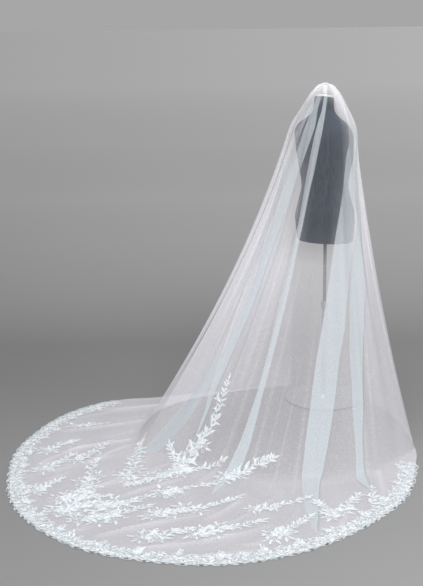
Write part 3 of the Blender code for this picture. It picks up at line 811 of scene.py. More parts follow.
@dataclass(frozen=True)
class VeilShape:
    """The hung cloth, read by place across it (0 to 1) and along it (0 comb, 1 floor, 2 hem)."""

    sag: float = 0.43
    floor_curve: float = 20 * MM
    short_train: float = 0.15
    under: float = 0.6 * MM
    step: float = 0.002
    layer: float = 1.0 * MM
    opening: float = 0.004
    turn_width: float = 11 * MM
    span: float = 3.4
    gathers: int = 27
    fine_gathers: int = 43
    fine_share: float = 0.6
    gather_height: float = 1.3 * MM
    gather_start: float = 0.03
    gather_fade: float = 0.07
    floor_ripple: float = 1.2 * MM
    crease_steps: int = 21

    def ray(self, place: Array) -> tuple[Array, Array, Array]:
        """The bearing, floor place and end place of the ray at a place across the veil."""
        found = spline(RAYS, place * (len(RAYS) - 1))
        return np.radians(found[..., 0]), found[..., 1:3], found[..., 3:5]

    def ring(self, bearing: Array, height: Array) -> Array:
        """The plan position of the cloth above the shoulders."""
        row = np.interp(-height, -RINGS[:, 0], np.arange(len(RINGS)))
        found = spline(RINGS, row)
        across = found[..., 1] * np.sin(bearing)
        return np.stack([across, found[..., 3] + found[..., 2] * np.cos(bearing)], axis=-1)

    def skin(self, place: Array, along: Array) -> Array:
        """The cloth with its largest folds only.

        Args:
            place: Across the veil.
            along: Down and out along the ray.

        Returns:
            X, Y and Z of each point.
        """
        place, along = np.broadcast_arrays(np.asarray(place, float), np.asarray(along, float))
        top, shoulder = RINGS[0, 0], RINGS[-1, 0]
        bearing, floor_spot, end_spot = self.ray(place)
        height = np.clip(top * (1 - along), 0, top)
        plan = self.ring(bearing, np.maximum(height, shoulder))
        t = np.clip(1 - height / shoulder, 0, 1)[..., None]
        plan = plan + (floor_spot - plan) * (t - self.sag * t * (1 - t))
        outward = unit(plan - np.array([0, RINGS[-1, 3]]))
        lift = sum(high * np.exp(-(((place - centre) / wide) ** 2)) for centre, wide, high in FOLDS)
        swell = np.sin(math.pi * np.clip(1 - height / top, 0, 1)) ** 0.8
        plan = plan + outward * (lift * swell)[..., None]
        run = end_spot - floor_spot
        length = np.linalg.norm(run, axis=-1)
        plan = plan + run * np.clip(along - 1, 0, 1)[..., None]
        curve = self.floor_curve * np.clip(length / self.short_train, 0.02, 1)
        drop = np.where(along < 1, top * (1 - along), -(along - 1) * length)
        level = self.under + 0.5 * (drop + np.sqrt(drop * drop + curve * curve))
        return np.concatenate([plan, level[..., None]], axis=-1)

    def normal(self, place: Array, along: Array) -> Array:
        """The outward direction, straight up where the cloth lies on the floor."""
        across = self.skin(place + self.step, along) - self.skin(place - self.step, along)
        down = self.skin(place, along + self.step) - self.skin(place, along - self.step)
        out = unit(np.cross(across, down))
        flat = smooth_between(0.97, 1.04, np.asarray(along, float))[..., None]
        return unit(out * (1 - flat) + UP * flat)

    def relief(self, place: Array, along: Array, plan: Array) -> Array:
        """How far the small folds and wrinkles stand out.

        Args:
            place: Across the veil.
            along: Down and out along the ray.
            plan: X and Y of each point.

        Returns:
            The height of each point above the skin.
        """
        gathers = np.sin(TAU * (self.gathers * place + 0.35 * np.sin(11 * place)))
        gathers = gathers + self.fine_share * np.sin(TAU * (self.fine_gathers * place + 0.2))
        high = self.gather_height * np.exp(-along / self.gather_fade)
        high = high * np.clip(along / self.gather_start, 0, 1) * (gathers + (1 + self.fine_share))
        for start, end, first, last, wide, tall in STREAKS:
            t = np.clip((along - first) / (last - first), 0, 1)
            off = (place - start - (end - start) * t) / wide
            high = high + tall * MM * np.exp(-off * off) * np.sin(math.pi * t) ** 0.7
        floor = smooth_between(1.0, 1.1, along)
        steps = np.linspace(0, 1, self.crease_steps)
        for start, middle, end, wide, tall in CREASES:
            line = np.array([
                [(1 - t) ** 2 * a + 2 * t * (1 - t) * (2 * b - (a + c) / 2) + t * t * c
                 for a, b, c in zip(start, middle, end)] for t in steps
            ])
            close = np.full(place.shape, 9.0)
            fade = np.zeros(place.shape)
            for t, spot in zip(steps, line):
                gap = np.hypot(plan[..., 0] - spot[0], plan[..., 1] - spot[1])
                fade = np.where(gap < close, math.sin(math.pi * t) ** 0.6, fade)
                close = np.minimum(close, gap)
            high = high + tall * MM * floor * fade * np.exp(-((close / (wide * MM)) ** 2))
        ripple = np.sin(19 * plan[..., 0] + 4 * np.sin(5 * plan[..., 1])) * np.sin(15 * plan[..., 1] + 1)
        return high + floor * self.floor_ripple * (1 + ripple)

    def edges(self, band: Band, along: Array) -> tuple[Array, Array]:
        """The right and left edge of a band of folded cloth at each along."""
        rows = np.array(band.rows)
        right = smooth_table(along, rows[:, 0], rows[:, 1])
        left = smooth_table(along, rows[:, 0], rows[:, 2])
        return right, np.maximum(left, right)

    def open_share(self, right: Array, left: Array) -> Array:
        """How far a band is open: 0 where it is shut, 1 where its layers part fully."""
        return np.clip((left - right) / self.opening, 0, 1)

    def turn_rise(self, share: Array, away: Array) -> Array:
        """How high the cloth stands beside a turned edge, away metres from it."""
        return 2 * self.layer * share * np.exp(-((away / self.turn_width) ** 2))

    def width_at(self, along: Array) -> Array:
        """About how many metres of cloth there are across the veil at each along."""
        knots = ((0, 0.03), (0.02, 0.15), (0.1, 0.5), (0.14, 0.6), (1, self.span), (2, 1.3 * self.span))
        return np.interp(along, *np.array(knots).T)

    def top_level(self, place: Array, along: Array) -> Array:
        """The height of the uppermost layer over the lowest one."""
        high = np.zeros(np.broadcast(place, along).shape)
        for band in BANDS:
            right, left = self.edges(band, along)
            beside = np.maximum(np.maximum(right - place, place - left), 0) * self.width_at(along)
            high = np.maximum(high, self.turn_rise(self.open_share(right, left), beside))
        return high

    def point(self, place: Array, along: Array, level: Array) -> Array:
        """A point of the finished cloth, level metres out from its lowest layer."""
        skin = self.skin(place, along)
        out = self.relief(place, along, skin[..., :2]) + level
        return skin + self.normal(place, along) * out[..., None]

    def cover(self, place: Array, along: Array) -> Array:
        """How much of the view one layer of the net stops."""
        lines = np.array([np.interp(place, COVER_PLACES, row[1:]) for row in COVER_ROWS])
        at = np.interp(along, [row[0] for row in COVER_ROWS], np.arange(len(COVER_ROWS)))
        low = np.clip(np.floor(at).astype(int), 0, len(COVER_ROWS) - 2)
        first = np.take_along_axis(lines, low[None], 0)[0]
        second = np.take_along_axis(lines, low[None] + 1, 0)[0]
        return first + (second - first) * (at - low)


@dataclass
class Tulle:
    """The single tier of soft tulle, from the comb to the hem."""

    shape: VeilShape
    columns: int = 250
    band_columns: int = 5
    band_column: float = 0.0055
    relief_gain: float = 65.0
    floor_gain_lost: float = 24.0
    fully_open: float = 0.999
    shut_merge: float = 0.15 * MM
    merge: float = 0.02 * MM
    sliver: float = 0.01 * MM

    def rows(self) -> Array:
        """Where the rows of points lie along the veil."""
        return np.concatenate([
            np.linspace(0, 0.10, 15, endpoint=False), np.linspace(0.10, 0.95, 66, endpoint=False),
            np.linspace(0.95, 1.05, 13, endpoint=False), np.linspace(1.05, 2.0, 58),
        ])

    def lines(self, along: Array) -> tuple[Array, Array, Array, Array]:
        """Lay the columns of points across the veil, to and fro through each folded band.

        Args:
            along: Where the rows lie.

        Returns:
            The place, level, share of folding and folded cover of each point, one row for each along.
        """
        shape = self.shape
        scale = shape.width_at(along)[:, None]
        edge = np.zeros(len(along))
        before = None
        places, levels, folded, covers = [], [], [], []
        for band in (*BANDS, None):
            right, left = (np.ones(len(along)),) * 2 if band is None else shape.edges(band, along)
            gap = float(np.max(right - edge))
            count = max(4, int(round(self.columns * gap)))
            t = np.linspace(0, 1, count, endpoint=band is None)[None, :]
            stretch = edge[:, None] + (right - edge)[:, None] * t
            level = np.zeros_like(stretch)
            for near, held, wanted in ((edge, before, Side.LEFT), (right, band, Side.RIGHT)):
                if held is not None and held.side is wanted:
                    first, last = shape.edges(held, along)
                    share = shape.open_share(first, last)[:, None]
                    level = np.maximum(level, shape.turn_rise(share, (stretch - near[:, None]) * scale))
            places.append(stretch)
            levels.append(level)
            folded.append(np.zeros_like(stretch))
            covers.append(np.zeros_like(stretch))
            if band is None:
                break
            wide = max(self.band_columns, int(round(float(np.max(left - right)) / self.band_column)))
            t = np.linspace(0, 1, wide, endpoint=False)[None, :]
            share = shape.open_share(right, left)[:, None]
            ends = [(right, left), (left, right), (right, left)]
            heights = [(2, 2), (2, 0), (0, 0)] if band.side is Side.RIGHT else [(0, 0), (0, 2), (2, 2)]
            for (start, stop), (low, high) in zip(ends, heights):
                places.append(start[:, None] + (stop - start)[:, None] * t)
                levels.append(shape.layer * share * (low + (high - low) * t))
                folded.append(share * np.ones_like(t))
                covers.append(np.full_like(folded[-1], band.cover))
            edge, before = left, band
        return np.hstack(places), np.hstack(levels), np.hstack(folded), np.hstack(covers)

    def build(self, material: Material) -> Solid:
        """Make the cloth.

        Args:
            material: The tulle.

        Returns:
            The piece, one thin sheet.
        """
        along = self.rows()
        place, level, folded, closer = self.lines(along)
        grid = np.broadcast_to(along[:, None], place.shape)
        points = self.shape.point(place, grid, level)
        cover = self.shape.cover(place, grid)
        high = self.shape.relief(place, grid, self.shape.skin(place, grid)[..., :2])
        gain = self.relief_gain - self.floor_gain_lost * smooth_between(0.95, 1.1, grid)
        cover = cover * (1 + gain * high)
        closer = closer * np.interp(grid, *FOLD_COVER.T)
        cover = cover + folded * (closer - cover)
        made = new_object("veil_tulle", points, grid_faces(*place.shape), material)
        set_values(made, "cover", "FLOAT", cover)
        set_values(made, "folded", "FLOAT", folded)
        work = bmesh.new()
        work.from_mesh(made.data)
        share = work.verts.layers.float["folded"]
        shut = [vert for vert in work.verts if vert[share] < self.fully_open]
        bmesh.ops.remove_doubles(work, verts=shut, dist=self.shut_merge)
        bmesh.ops.remove_doubles(work, verts=work.verts, dist=self.merge)
        bmesh.ops.dissolve_degenerate(work, edges=work.edges, dist=self.sliver)
        loose = [vert for vert in work.verts if not vert.link_faces]
        bmesh.ops.delete(work, geom=loose, context="VERTS")
        work.to_mesh(made.data)
        area = sum(face.calc_area() for face in work.faces)
        work.free()
        made.data.shade_smooth()
        made.data.set_sharp_from_angle(angle=math.radians(95))
        log.info("tulle: %.2f square metres, box %s", area, [round(x, 3) for x in made.dimensions])
        return made


def blade(long: float, wide: float, fullness: float, rows: int = 6) -> tuple[Array, Array, list]:
    """A lace leaf or petal with a corded rim and a vein.

    Args:
        long: Its length along +Y.
        wide: Its half width.
        fullness: Where it is widest: 1 halfway, more nearer its tip.
        rows: How many steps it has along.

    Returns:
        Its points, the rise of each point and its faces.
    """
    across = np.array([-1.0, -0.62, 0.0, 0.62, 1.0])
    rise = np.array([0.015, 0.002, 0.022, 0.002, 0.015])
    t = np.linspace(0.0, 1.0, rows + 1)
    half = wide * np.maximum(np.sin(math.pi * t**fullness) ** 0.75, 0.04)
    points = np.stack([
        half[:, None] * across[None, :], np.repeat(long * t[:, None], 5, 1), np.zeros((rows + 1, 5)),
    ], axis=-1).reshape(-1, 3)
    return points, np.tile(rise, rows + 1), [face[::-1] for face in grid_faces(rows + 1, 5)]


@dataclass
class LaceWork:
    """The corded lace: motifs scattered by Geometry Nodes and pressed onto the cloth."""

    shape: VeilShape
    lift: float = 0.9 * MM
    reach: float = 40 * MM
    past_reach: float = 1.6
    cord_radius: float = 0.9 * MM
    seed: int = 7

    def __post_init__(self) -> None:
        """Start the lists of motifs and cords."""
        self.random = np.random.default_rng(self.seed)
        self.motifs: list[tuple[Motif, Array, Array, Array, float]] = []
        self.cords: list[Array] = []

    def motif_meshes(self) -> bpy.types.Collection:
        """Make one small mesh for each kind of motif.

        Returns:
            The collection that holds them, in the order of Motif.
        """
        made = bpy.data.collections.new("motifs")
        spots, rise, quads = blade(0.36, 0.14, 1.2, 3)
        petal = (spots + np.array([0, 0.14, 0]), rise, quads)
        shapes = {
            Motif.LEAF: [(blade(1.0, 0.19, 0.8, 5), 0.0)],
            Motif.PETAL: [(blade(1.0, 0.36, 1.35, 4), 0.0)],
            Motif.FLOWER: [(petal, TAU * turn / 6) for turn in range(6)],
        }
        for motif, blades in shapes.items():
            points, rises, faces = [], [], []
            for (spots, rise, quads), turn in blades:
                first = sum(len(p) for p in points)
                spin = np.array(Matrix.Rotation(turn, 3, "Z"))
                points.append(spots @ spin.T)
                rises.append(rise)
                faces += [tuple(first + v for v in face) for face in quads]
            self.keep(made, motif, np.vstack(points), np.concatenate(rises), faces)
        around = np.linspace(0, TAU, 20, endpoint=False)
        spots = [(r * math.sin(a), r * math.cos(a), 0.0) for r in (0.36, 0.43, 0.50) for a in around]
        rise = np.repeat([0.0, 0.05, 0.0], 20)
        self.keep(made, Motif.RING, np.array(spots), rise, grid_faces(3, 20, True))
        return made

    def keep(
        self, group: bpy.types.Collection, motif: Motif, points: Array, rise: Array, faces: list
    ) -> None:
        """Store one motif's mesh in the collection."""
        made = new_object(f"motif_{motif.value}", points, faces)
        bpy.context.scene.collection.objects.unlink(made)
        group.objects.link(made)
        set_values(made, "rise", "FLOAT", rise)
        set_values(made, "cover", "FLOAT", np.where(rise > 0.01, 1.0, 0.5))

    def on_cloth(self, place: Array, along: Array) -> tuple[Array, Array]:
        """Points on top of the cloth and its outward direction there."""
        place, along = np.broadcast_arrays(np.asarray(place, float), np.asarray(along, float))
        level = self.shape.top_level(place, along) + self.lift
        return self.shape.point(place, along, level), self.shape.normal(place, along)

    def add(self, motif: Motif, spot: Array, out: Array, heading: Array, size: float) -> None:
        """Note one motif.

        Args:
            motif: Its kind.
            spot: Where its foot is.
            out: The cloth's outward direction.
            heading: Where it points.
            size: Its length.
        """
        flat = unit(heading - out * float(heading @ out))
        self.motifs.append((motif, spot, out, flat, size))

    def sprig(self, places: Array, leaf: float, leaves: int, flowers: int, bloom: float) -> None:
        """Grow one spray along a line on the cloth.

        Args:
            places: Place and along of each point of its stem, from the root to the tip.
            leaf: The length of its leaflets.
            leaves: How many leaflets it has.
            flowers: How many flowers sit near its root.
            bloom: The flowers' width.
        """
        count = 4 * leaves + 1
        line = spline(np.asarray(places, float), np.linspace(0, len(places) - 1, count))
        spots, outs = self.on_cloth(line[:, 0], line[:, 1])
        self.cords.append(spots)
        forward = unit(np.gradient(spots, axis=0))
        across = np.cross(outs, forward)
        pick = self.random.uniform

        def leaflet(at: int, root: Array, angle: float, size: float, kind: Motif = Motif.LEAF) -> Array:
            """Note a leaflet turned by an angle from the stem, and give its direction."""
            heading = forward[at] * math.cos(angle) + across[at] * math.sin(angle)
            self.add(kind, root, outs[at], heading, size)
            return heading

        for index in range(leaves):
            at = 4 * index + 2
            t = at / count
            side = 1 if index % 2 else -1
            angle = side * pick(0.55, 1.15) * (1.1 - 0.35 * t)
            size = leaf * (1.05 - 0.4 * t) * pick(0.6, 1.15)
            heading = leaflet(at, spots[at], angle, size)
            leaflet(at + 1, spots[at + 1], -side * pick(0.35, 1.1), size * pick(0.5, 1.0))
            if pick(0, 1) < 0.75 * (1 - t):
                for share, lean in ((0.5, 0.75), (0.7, -0.7)):
                    leaflet(at, spots[at] + heading * share * size, angle + lean, 0.6 * size)
        leaflet(count - 1, spots[-1], 0.0, 0.7 * leaf)
        for index in range(flowers):
            at = min(int(count * 0.12 * index), count - 1)
            centre = spots[at] + across[at] * (0.45 * bloom * (1 if index % 2 else -1) * (index > 0))
            leaflet(at, centre, 0.0, pick(24, 30) * MM, Motif.FLOWER)
            for step in range(6):
                angle = TAU * (step + pick(-0.25, 0.25)) / 6
                heading = forward[at] * math.cos(angle) + across[at] * math.sin(angle)
                leaflet(at, centre + heading * 0.48 * bloom, angle, pick(17, 24) * MM, Motif.FLOWER)
                angle = angle + pick(0.3, 0.7)
                heading = forward[at] * math.cos(angle) + across[at] * math.sin(angle)
                leaflet(at, centre + heading * 0.5 * bloom, angle, pick(0.5, 0.8) * leaf)

    def scatter_tree(self) -> Tree:
        """Build the tree that puts motifs on points and presses them onto the cloth.

        Returns:
            The tree, with named inputs for its sizes and its pieces.
        """
        tree, given = open_tree("lace_on_cloth", {
            "Points": "Geometry", "Motifs": "Collection", "Cloth": "Object", "Cords": "Object",
            "Ground": "Object", "Lift": "Float", "Reach": "Float", "Cord Radius": "Float",
            "Thread": "Material",
        }, "Lace")

        def named(name: str, kind: str) -> Socket:
            """Read a named attribute."""
            read = add_node(tree, "GeometryNodeInputNamedAttribute", {"data_type": kind}, {"Name": name})
            return read.outputs["Attribute"]

        def shape_of(name: str) -> Socket:
            """The geometry of an input object."""
            return add_node(tree, "GeometryNodeObjectInfo", None, {"Object": given[name]}).outputs["Geometry"]

        pool = add_node(tree, "GeometryNodeCollectionInfo", None, {
            "Collection": given["Motifs"], "Separate Children": True, "Reset Children": True,
        })
        placed = add_node(tree, "GeometryNodeInstanceOnPoints", None, {
            "Points": given["Points"], "Instance": pool.outputs[0], "Pick Instance": True,
            "Instance Index": named("kind", "INT"), "Rotation": named("turn", "FLOAT_VECTOR"),
            "Scale": named("size", "FLOAT"),
        })
        real = add_node(tree, "GeometryNodeRealizeInstances", None, {"Geometry": placed.outputs[0]})
        where = add_node(tree, "GeometryNodeInputPosition").outputs[0]
        aim = named("aim", "FLOAT_VECTOR")
        hit = add_node(tree, "GeometryNodeRaycast", None, {
            "Target Geometry": shape_of("Cloth"),
            "Source Position": vectors(tree, "ADD", where, vectors(tree, "SCALE", aim, given["Reach"])),
            "Ray Direction": vectors(tree, "SCALE", aim, -1.0),
            "Ray Length": maths(tree, "MULTIPLY", given["Reach"], self.past_reach),
        })
        rise = maths(tree, "MULTIPLY_ADD", named("rise", "FLOAT"), named("size", "FLOAT"), given["Lift"])
        proud = vectors(tree, "SCALE", aim, rise)
        pressed = add_node(tree, "GeometryNodeSetPosition", None, {
            "Geometry": joined(tree, real.outputs[0], shape_of("Ground")), "Selection": hit.outputs["Is Hit"],
            "Position": vectors(tree, "ADD", hit.outputs["Hit Position"], proud),
        })
        curve = add_node(tree, "GeometryNodeMeshToCurve", None, {"Mesh": shape_of("Cords")}).outputs[0]
        whole = joined(tree, pressed.outputs[0], wires(tree, curve, 5, given["Cord Radius"]))
        smooth = add_node(tree, "GeometryNodeSetShadeSmooth", None, {"Geometry": whole})
        close_tree(tree, smooth.outputs[0], given["Thread"])
        return tree

    def build(
        self, name: str, cloth: Solid, motifs: bpy.types.Collection,
        tree: Tree, material: Material, ground: Solid | None,
    ) -> Solid:
        """Turn the noted motifs and cords to one plain mesh.

        Args:
            name: The piece's name.
            cloth: What the lace lies on.
            motifs: The motif meshes.
            tree: The tree from scatter_tree.
            material: The lace.
            ground: A strip of net ground that goes with them.

        Returns:
            The piece.
        """
        kinds, spots, outs, headings, sizes = zip(*self.motifs)
        turns = []
        for out, heading in zip(outs, headings):
            side = np.cross(heading, out)
            turns.append(Matrix(np.stack([side, heading, out], axis=1).tolist()).to_euler())
        points = new_object(f"{name}_points", np.array(spots), [])
        set_values(points, "kind", "INT", [kind.value for kind in kinds])
        set_values(points, "turn", "FLOAT_VECTOR", np.array(turns))
        set_values(points, "size", "FLOAT", sizes)
        set_values(points, "aim", "FLOAT_VECTOR", np.array(outs))
        count = np.cumsum([0] + [len(line) for line in self.cords])
        edges = [(i, i + 1) for first, last in zip(count[:-1], count[1:]) for i in range(first, last - 1)]
        cords = new_object(f"{name}_cords", np.vstack(self.cords), [], edges=edges)
        set_values(cords, "cover", "FLOAT", np.ones(count[-1]))
        given = {
            "Motifs": motifs, "Cloth": cloth, "Cords": cords, "Lift": self.lift, "Reach": self.reach,
            "Cord Radius": self.cord_radius, "Thread": material, "Ground": ground,
        }
        made = baked(name, points, tree, given)
        for spare in (cords, ground):
            if spare is not None:
                bpy.data.objects.remove(spare, do_unlink=True)
        return made


# The sprays: place and along of the stem's points, leaflet length in millimetres, how many
# leaflets and flowers it has, and the flowers' width in millimetres.
SPRAYS = (
    (((0.530, 1.040), (0.528, 0.966), (0.518, 0.939), (0.514, 0.899), (0.516, 0.851),
      (0.520, 0.803)), 50, 20, 3, 50),
    (((0.516, 1.110), (0.518, 1.075), (0.556, 1.010), (0.582, 0.975)), 48, 12, 1, 40),
    (((0.516, 1.105), (0.500, 1.085), (0.486, 1.030), (0.464, 0.985)), 45, 12, 1, 34),
    (((0.512, 1.100), (0.520, 1.190), (0.528, 1.265), (0.534, 1.340), (0.540, 1.400)), 45, 16, 5, 46),
    (((0.544, 1.380), (0.576, 1.261), (0.608, 1.143), (0.640, 1.048), (0.668, 0.985)), 48, 18, 3, 46),
    (((0.552, 1.641), (0.570, 1.571), (0.590, 1.500), (0.615, 1.421), (0.638, 1.353)), 48, 18, 5, 52),
    (((0.630, 1.539), (0.640, 1.457), (0.655, 1.368), (0.684, 1.251)), 48, 12, 1, 38),
    (((0.735, 1.724), (0.740, 1.609), (0.746, 1.523), (0.752, 1.438)), 45, 12, 1, 40),
    (((0.662, 1.755), (0.674, 1.704), (0.684, 1.635), (0.692, 1.570)), 45, 13, 2, 42),
    (((0.622, 1.782), (0.630, 1.674), (0.640, 1.610), (0.648, 1.545)), 45, 13, 2, 42),
    (((0.590, 1.847), (0.596, 1.797), (0.598, 1.736), (0.600, 1.676)), 45, 12, 2, 42),
    (((0.548, 1.853), (0.542, 1.780), (0.538, 1.720), (0.534, 1.660)), 51, 14, 5, 54),
    (((0.566, 1.762), (0.556, 1.701), (0.548, 1.641), (0.536, 1.560)), 51, 14, 5, 52),
    (((0.520, 1.820), (0.506, 1.730), (0.496, 1.640), (0.484, 1.530)), 51, 16, 5, 54),
    (((0.528, 1.690), (0.516, 1.610), (0.508, 1.540), (0.500, 1.450)), 51, 14, 5, 50),
    (((0.490, 1.390), (0.482, 1.340), (0.470, 1.270), (0.450, 1.195)), 48, 14, 3, 46),
    (((0.470, 1.610), (0.456, 1.540), (0.440, 1.460), (0.424, 1.370), (0.410, 1.300)), 48, 20, 5, 46),
    (((0.458, 1.820), (0.446, 1.760), (0.440, 1.720), (0.434, 1.680)), 48, 11, 3, 46),
    (((0.428, 1.730), (0.412, 1.670), (0.396, 1.619), (0.376, 1.567)), 48, 15, 4, 46),
    (((0.388, 1.439), (0.372, 1.413), (0.352, 1.376), (0.328, 1.316)), 48, 13, 1, 34),
    (((0.362, 1.783), (0.352, 1.721), (0.340, 1.657), (0.326, 1.592)), 51, 13, 3, 44),
    (((0.442, 1.125), (0.434, 1.060), (0.424, 1.010), (0.408, 0.984), (0.394, 0.973),
      (0.380, 0.963)), 48, 16, 3, 44),
    (((0.294, 1.669), (0.288, 1.601), (0.280, 1.534), (0.271, 1.458)), 48, 12, 1, 38),
    (((0.306, 1.675), (0.306, 1.590), (0.310, 1.497), (0.317, 1.404)), 45, 11, 1, 34),
    (((0.266, 1.729), (0.260, 1.654), (0.256, 1.561), (0.252, 1.421)), 43, 9, 0, 34),
)
RING_SPOT = (0.478, 1.330)
RING_WIDTH = 52 * MM


@dataclass
class Border:
    """The scalloped lace along the rounded hem."""

    shape: VeilShape
    first: float = 0.176
    last: float = 0.820
    pitch: float = 34 * MM
    wide: float = 70 * MM
    edge_out: float = 17 * MM
    lift: float = 2 * MM
    tuft_every: int = 5

    def places(self, pitch: float) -> Array:
        """Places across the veil that lie a pitch apart along the hem."""
        fine = np.linspace(self.first, self.last, 900)
        ends = self.shape.ray(fine)[2]
        run = np.concatenate([[0], np.cumsum(np.linalg.norm(np.diff(ends, axis=0), axis=1))])
        return np.interp(np.linspace(0, run[-1], int(round(run[-1] / pitch)) + 1), run, fine)

    def hem(self, place: Array) -> tuple[Array, Array, Array]:
        """The end of the cloth, the direction along it and the direction inwards from it."""
        here = self.shape.ray(place)[2]
        along = unit(self.shape.ray(place + 0.002)[2] - self.shape.ray(place - 0.002)[2])
        inward = np.stack([along[:, 1], -along[:, 0]], axis=1)
        flat = np.zeros((len(place), 1))
        return tuple(np.hstack([piece, flat]) for piece in (here, along, inward))

    def ground(self) -> Solid:
        """Make the strip of net ground with its scalloped outer edge.

        Returns:
            The strip, with the attributes that the lace's tree reads.
        """
        steps = 6
        place = self.places(self.pitch / steps)
        here, _, inward = self.hem(place)
        count = np.arange(len(place))
        wave = np.abs(np.sin(math.pi * count / (2 * steps) + 0.2 * np.sin(count / 7.3))) ** 0.7
        start = -self.edge_out * (0.2 + 0.7 * wave)
        stop = self.wide * (0.72 + 0.14 * np.sin(count / 5.3) + 0.10 * np.sin(count / 2.1))
        lines = [here + inward * (start + (stop - start) * t)[:, None] for t in np.linspace(0, 1, 7)]
        points = np.vstack(lines) + self.lift * UP
        made = new_object("border_ground", points, [face[::-1] for face in grid_faces(7, len(place))])
        set_values(made, "aim", "FLOAT_VECTOR", np.tile([0, 0, 1], (len(points), 1)))
        set_values(made, "size", "FLOAT", np.ones(len(points)))
        set_values(made, "rise", "FLOAT", np.full(len(points), -0.4 * MM))
        set_values(made, "cover", "FLOAT", np.repeat([0.75, 0.5, 0.5, 0.46, 0.40, 0.32, 0.22], len(place)))
        return made

    def note(self, work: LaceWork) -> None:
        """Note the border's motifs.

        Args:
            work: The lace that takes them.
        """
        place = self.places(self.pitch)
        here, along, inward = self.hem(place)
        pick = work.random.uniform
        for index in range(len(place)):
            bulge = pick(0.9, 1.1) if index % 2 else pick(0.35, 0.6)
            foot = here[index] - inward[index] * (self.edge_out * bulge - 14 * MM) + self.lift * UP
            for turn in (-75, -38, 0, 38, 75):
                angle = math.radians(turn + pick(-12, 12))
                heading = -inward[index] * math.cos(angle) + along[index] * math.sin(angle)
                work.add(Motif.PETAL, foot, UP, heading, pick(10, 15) * MM)
            work.add(Motif.FLOWER, foot, UP, along[index], pick(16, 22) * MM)
            for deep in (14, 27, 40, 53):
                spot = foot + (inward[index] * (deep + pick(-5, 5)) + along[index] * pick(-12, 12)) * MM
                heading = unit(along[index] + inward[index] * pick(-1, 1))
                work.add(Motif.FLOWER, spot, UP, heading, pick(17, 27) * MM)
            for _ in range(11):
                angle = pick(-2.6, 2.6)
                heading = inward[index] * math.cos(angle) + along[index] * math.sin(angle)
                root = foot + (inward[index] * pick(2, 56) + along[index] * pick(-15, 15)) * MM
                work.add(Motif.LEAF, root, UP, heading, pick(14, 28) * MM)
            if index % self.tuft_every == self.tuft_every // 2:
                aim = unit(inward[index] + along[index] * pick(-0.6, 0.6))
                for step in range(10):
                    side = (step % 2 * 2 - 1) * pick(0.4, 1.1)
                    root = foot + aim * (38 + 5 * step) * MM
                    heading = aim + np.cross(UP, aim) * side
                    work.add(Motif.LEAF, root, UP, heading, (28 - 1.2 * step) * pick(0.7, 1.2) * MM)
        fine = self.places(self.pitch / 6)
        here, _, inward = self.hem(fine)
        for back, sway in ((-4 * MM, 4 * MM), (30 * MM, 7 * MM)):
            wave = back + sway * np.sin(np.arange(len(fine)) * 0.9)
            spots = here + inward * wave[:, None]
            spots[:, 2] = 5 * MM
            work.cords.append(spots)


@dataclass
class DressForm:
    """The headless form with its neck cap and knob."""

    around: int = 96
    rows: int = 110
    tilt: float = math.radians(12)
    tilt_from: float = 1.400
    neck_top: tuple[float, float, float] = (0.0, 0.030, 1.4863)
    cap_radius: float = 45.5 * MM
    cap_thick: float = 9 * MM
    edge: float = 3 * MM

    def torso(self, material: Material) -> Solid:
        """Make the smooth body of the form, closed at the neck and at its flat bottom.

        Args:
            material: The jersey.

        Returns:
            The piece.
        """
        top = FORM_SECTIONS[-1, 0]
        heights = np.concatenate([
            FORM_BOTTOM + self.edge * (1 - np.cos(np.linspace(0, math.pi / 2, 5)[:-1])),
            np.linspace(FORM_BOTTOM + self.edge, top, self.rows),
        ])
        row = np.interp(heights, FORM_SECTIONS[:, 0], np.arange(len(FORM_SECTIONS)))
        found = spline(FORM_SECTIONS, row)
        deep = np.clip((heights - FORM_BOTTOM) / self.edge, 0, 1)
        pull = self.edge * (1 - np.sqrt(1 - (1 - deep) ** 2))
        turn = np.linspace(0, TAU, self.around, endpoint=False)
        x = (found[:, 1] - pull)[:, None] * np.cos(turn)
        y = found[:, 3][:, None] + (found[:, 2] - pull)[:, None] * np.sin(turn)
        share = np.clip((heights - self.tilt_from) / (top - self.tilt_from), 0, None)[:, None]
        z = heights[:, None] + share * math.tan(self.tilt) * (y - found[:, 3][:, None])
        points = np.stack([x, y, z], axis=-1).reshape(-1, 3)
        foot, neck = points[: self.around].mean(axis=0), points[-self.around :].mean(axis=0)
        return new_object("form_torso", *capped(points, self.around, foot, neck), material)

    def axis(self) -> Vector:
        """The direction of the tilted neck."""
        return Vector((0, -math.sin(self.tilt), math.cos(self.tilt)))


def rounded(profile: list[tuple[float, float]], radius: float, steps: int = 4) -> list[tuple[float, float]]:
    """Round the inner corners of a turned piece's profile.

    Args:
        profile: Radius and height of each corner.
        radius: How far the rounding reaches from a corner.
        steps: How many facets a rounding has.

    Returns:
        The profile with more points.
    """
    corners = [Vector(corner) for corner in profile]
    made = [corners[0]]
    for before, here, after in zip(corners, corners[1:], corners[2:]):
        reach = min(radius, 0.45 * (before - here).length, 0.45 * (after - here).length)
        start = here + (before - here).normalized() * reach
        end = here + (after - here).normalized() * reach
        for step in range(steps + 1):
            t = step / steps
            made.append(start * (1 - t) ** 2 + here * 2 * t * (1 - t) + end * t * t)
    made.append(corners[-1])
    return [tuple(corner) for corner in made]


